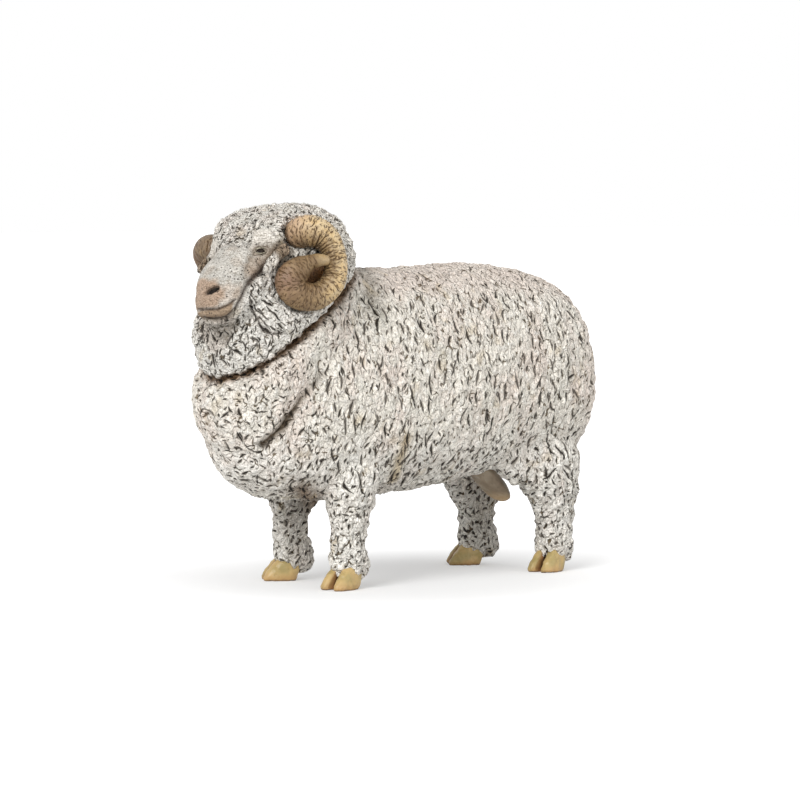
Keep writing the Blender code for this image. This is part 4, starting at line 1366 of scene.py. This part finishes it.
def add_hoof(name, spot, turn, paint):
    spot = np.array(spot)

    def turned(points, _):
        """The hoof slimmer and lower, turned about its middle, with a slope down to its toe."""
        spin = np.array([[math.cos(turn), -math.sin(turn)], [math.sin(turn), math.cos(turn)]])
        moved = points.copy()
        moved[:, :2] = HOOF_NARROW * (points[:, :2] - spot) @ spin.T + spot
        high = np.clip(points[:, 2] / HOOF_TALL, 0.0, 1.0)
        ahead = np.clip(spot[0] - moved[:, 0], 0.0, None)
        moved[:, 0] += ahead * HOOF_SLOPE * high ** 1.5 - HOOF_FORWARD
        moved[:, 1] -= (moved[:, 1] - spot[1]) * HOOF_TAPER * high
        moved[:, 2] *= HOOF_LOW
        return moved

    def cleft(tint, points):
        """Red and dark paint in the split between the claws."""
        toe = turn - math.copysign(TOE_OUT, spot[1])
        away = np.abs((points[:, :2] - spot) @ np.array([-math.sin(toe), math.cos(toe)]))
        tint.lay(HOOF_RED, 0.8 * (1.0 - ease(away, 0.55, 1.3)))
        tint.lay(DARK_LINE, 0.8 * (1.0 - ease(away, 0.45, 0.7)))

    dress_small(
        name, name + "_shell", HOOF_VOXEL, HOOF_SOFT, paint, PLAIN, (1.0, 0.0, 0.5), cleft, turned,
    )


def add_small_pieces():
    wool, skin, hoof = wool_material("tuft_paint", 1.0), skin_material(), hoof_material()
    for name, size in (("left_ear", 1.0), ("right_ear", FAR_EAR)):
        dress_small(
            name, name + "_wool", EAR_VOXEL, EAR_SOFT, wool, (0.6, 0.0, 0.5), (1.0, 0.0, 0.0),
            ear_paint, lambda points, normals, size=size: drawn_in(points, normals, size),
        )
    dress_small(
        "tail", "tail_wool", TAIL_VOXEL, TAIL_SOFT, wool, (0.3, 0.0, 0.9), (1.0, 0.1, 0.0),
        lambda tint, points: tint.lay(WOOL_WARM, np.full(len(points), 0.5)),
    )
    dress_small(
        "scrotum", "scrotum_skin", BAG_VOXEL, BAG_SOFT, skin, PLAIN, (1.0, 0.0, 0.6),
        lambda tint, points: tint.lay(BAG_TAN, 0.7 * ease(-points[:, 2], *BAG_FOOT)), slimmer,
    )
    for name, spot, degrees in zip(HOOVES, HOOF_SPOTS, HOOF_DEGREES):
        add_hoof(name, spot, math.radians(degrees), hoof)


# The floor, the lamps and the world.
FLOOR_HALF = 6.0
FLOOR_PALE, FLOOR_SEEN = (0.92, 0.92, 0.92, 1.0), (0.62, 0.62, 0.62, 1.0)
FLOOR_NEAR = 0.03
FLOOR_FAR = 0.11
FLOOR_GLOW = 0.32
FLOOR_GLOW_MORE = 0.4
AMBIENT = 0.6
# Each row: a lamp's strength, how many degrees wide it is, and from where it shines, around and above.
LAMPS = {"key": (2.12, 30.0, -66.0, 35.0), "fill": (1.1, 60.0, 12.0, 3.0)}


def add_stage():
    """A wide floor that glows a little for the camera, and less close to the ram, as a painted grey shade
    about it.
    """
    mesh = bpy.data.meshes.new("floor")
    corners = [(x * FLOOR_HALF, y * FLOOR_HALF, 0.0) for x, y in ((-1, -1), (1, -1), (1, 1), (-1, 1))]
    mesh.from_pydata(corners, [], [(0, 1, 2, 3)])
    floor = link(bpy.data.objects.new("floor", mesh))
    made = bpy.data.materials.new("floor_paper")
    made.use_nodes = True
    net = ShaderNet(made.node_tree)
    made.node_tree.nodes.remove(made.node_tree.nodes["Principled BSDF"])
    away = net.vector("LENGTH", net.join("ShaderNodeTexCoord", output="Object"))
    # Painted shade: the glow is weaker close to the ram, so the floor about it shows grey.
    strength = net.smooth(away, FLOOR_NEAR, FLOOR_FAR) * FLOOR_GLOW_MORE + FLOOR_GLOW
    glow = net.join("ShaderNodeEmission", ((1.0, 1.0, 1.0, 1.0), strength))
    lit = net.join("ShaderNodeAddShader", (net.join("ShaderNodeBsdfDiffuse", (FLOOR_SEEN,)), glow))
    plain = net.join("ShaderNodeBsdfDiffuse", (FLOOR_PALE,))
    seen = net.join("ShaderNodeLightPath", output="Is Camera Ray")
    choice = net.join("ShaderNodeMixShader", (seen, plain, lit))
    net.feed(made.node_tree.nodes["Material Output"].inputs["Surface"], choice)
    mesh.materials.append(made)


def add_light():
    """A white world that lights less than it shows, a broad key lamp and a soft fill."""
    world = bpy.data.worlds.new("studio")
    bpy.context.scene.world = world
    world.use_nodes = True
    net = ShaderNet(world.node_tree)
    ground = world.node_tree.nodes["Background"]
    ground.inputs["Color"].default_value = (1.0, 1.0, 1.0, 1.0)
    rays = ("Is Camera Ray", "Is Glossy Ray", "Is Transmission Ray")
    shown = net.most(*(net.join("ShaderNodeLightPath", output=ray) for ray in rays))
    net.feed(ground.inputs["Strength"], shown * (1.0 - AMBIENT) + AMBIENT)
    for name, (strength, wide, azimuth, rise) in LAMPS.items():
        data = bpy.data.lights.new(name, "SUN")
        data.energy = strength
        data.angle = math.radians(wide)
        lamp = link(bpy.data.objects.new(name, data))
        from_there = direction(math.radians(azimuth), math.radians(rise))
        lamp.rotation_euler = from_there.to_track_quat("Z", "Y").to_euler()


add_camera()
add_stage()
add_light()
bpy.context.scene.view_settings.view_transform = "Standard"
head_tree = add_head(add_fleece())
add_eyes(head_tree)
horn_paint = horn_material()
add_horn(-1, "left_horn", horn_paint)
add_horn(1, "right_horn", horn_paint)
add_small_pieces()

bpy.context.view_layer.update()
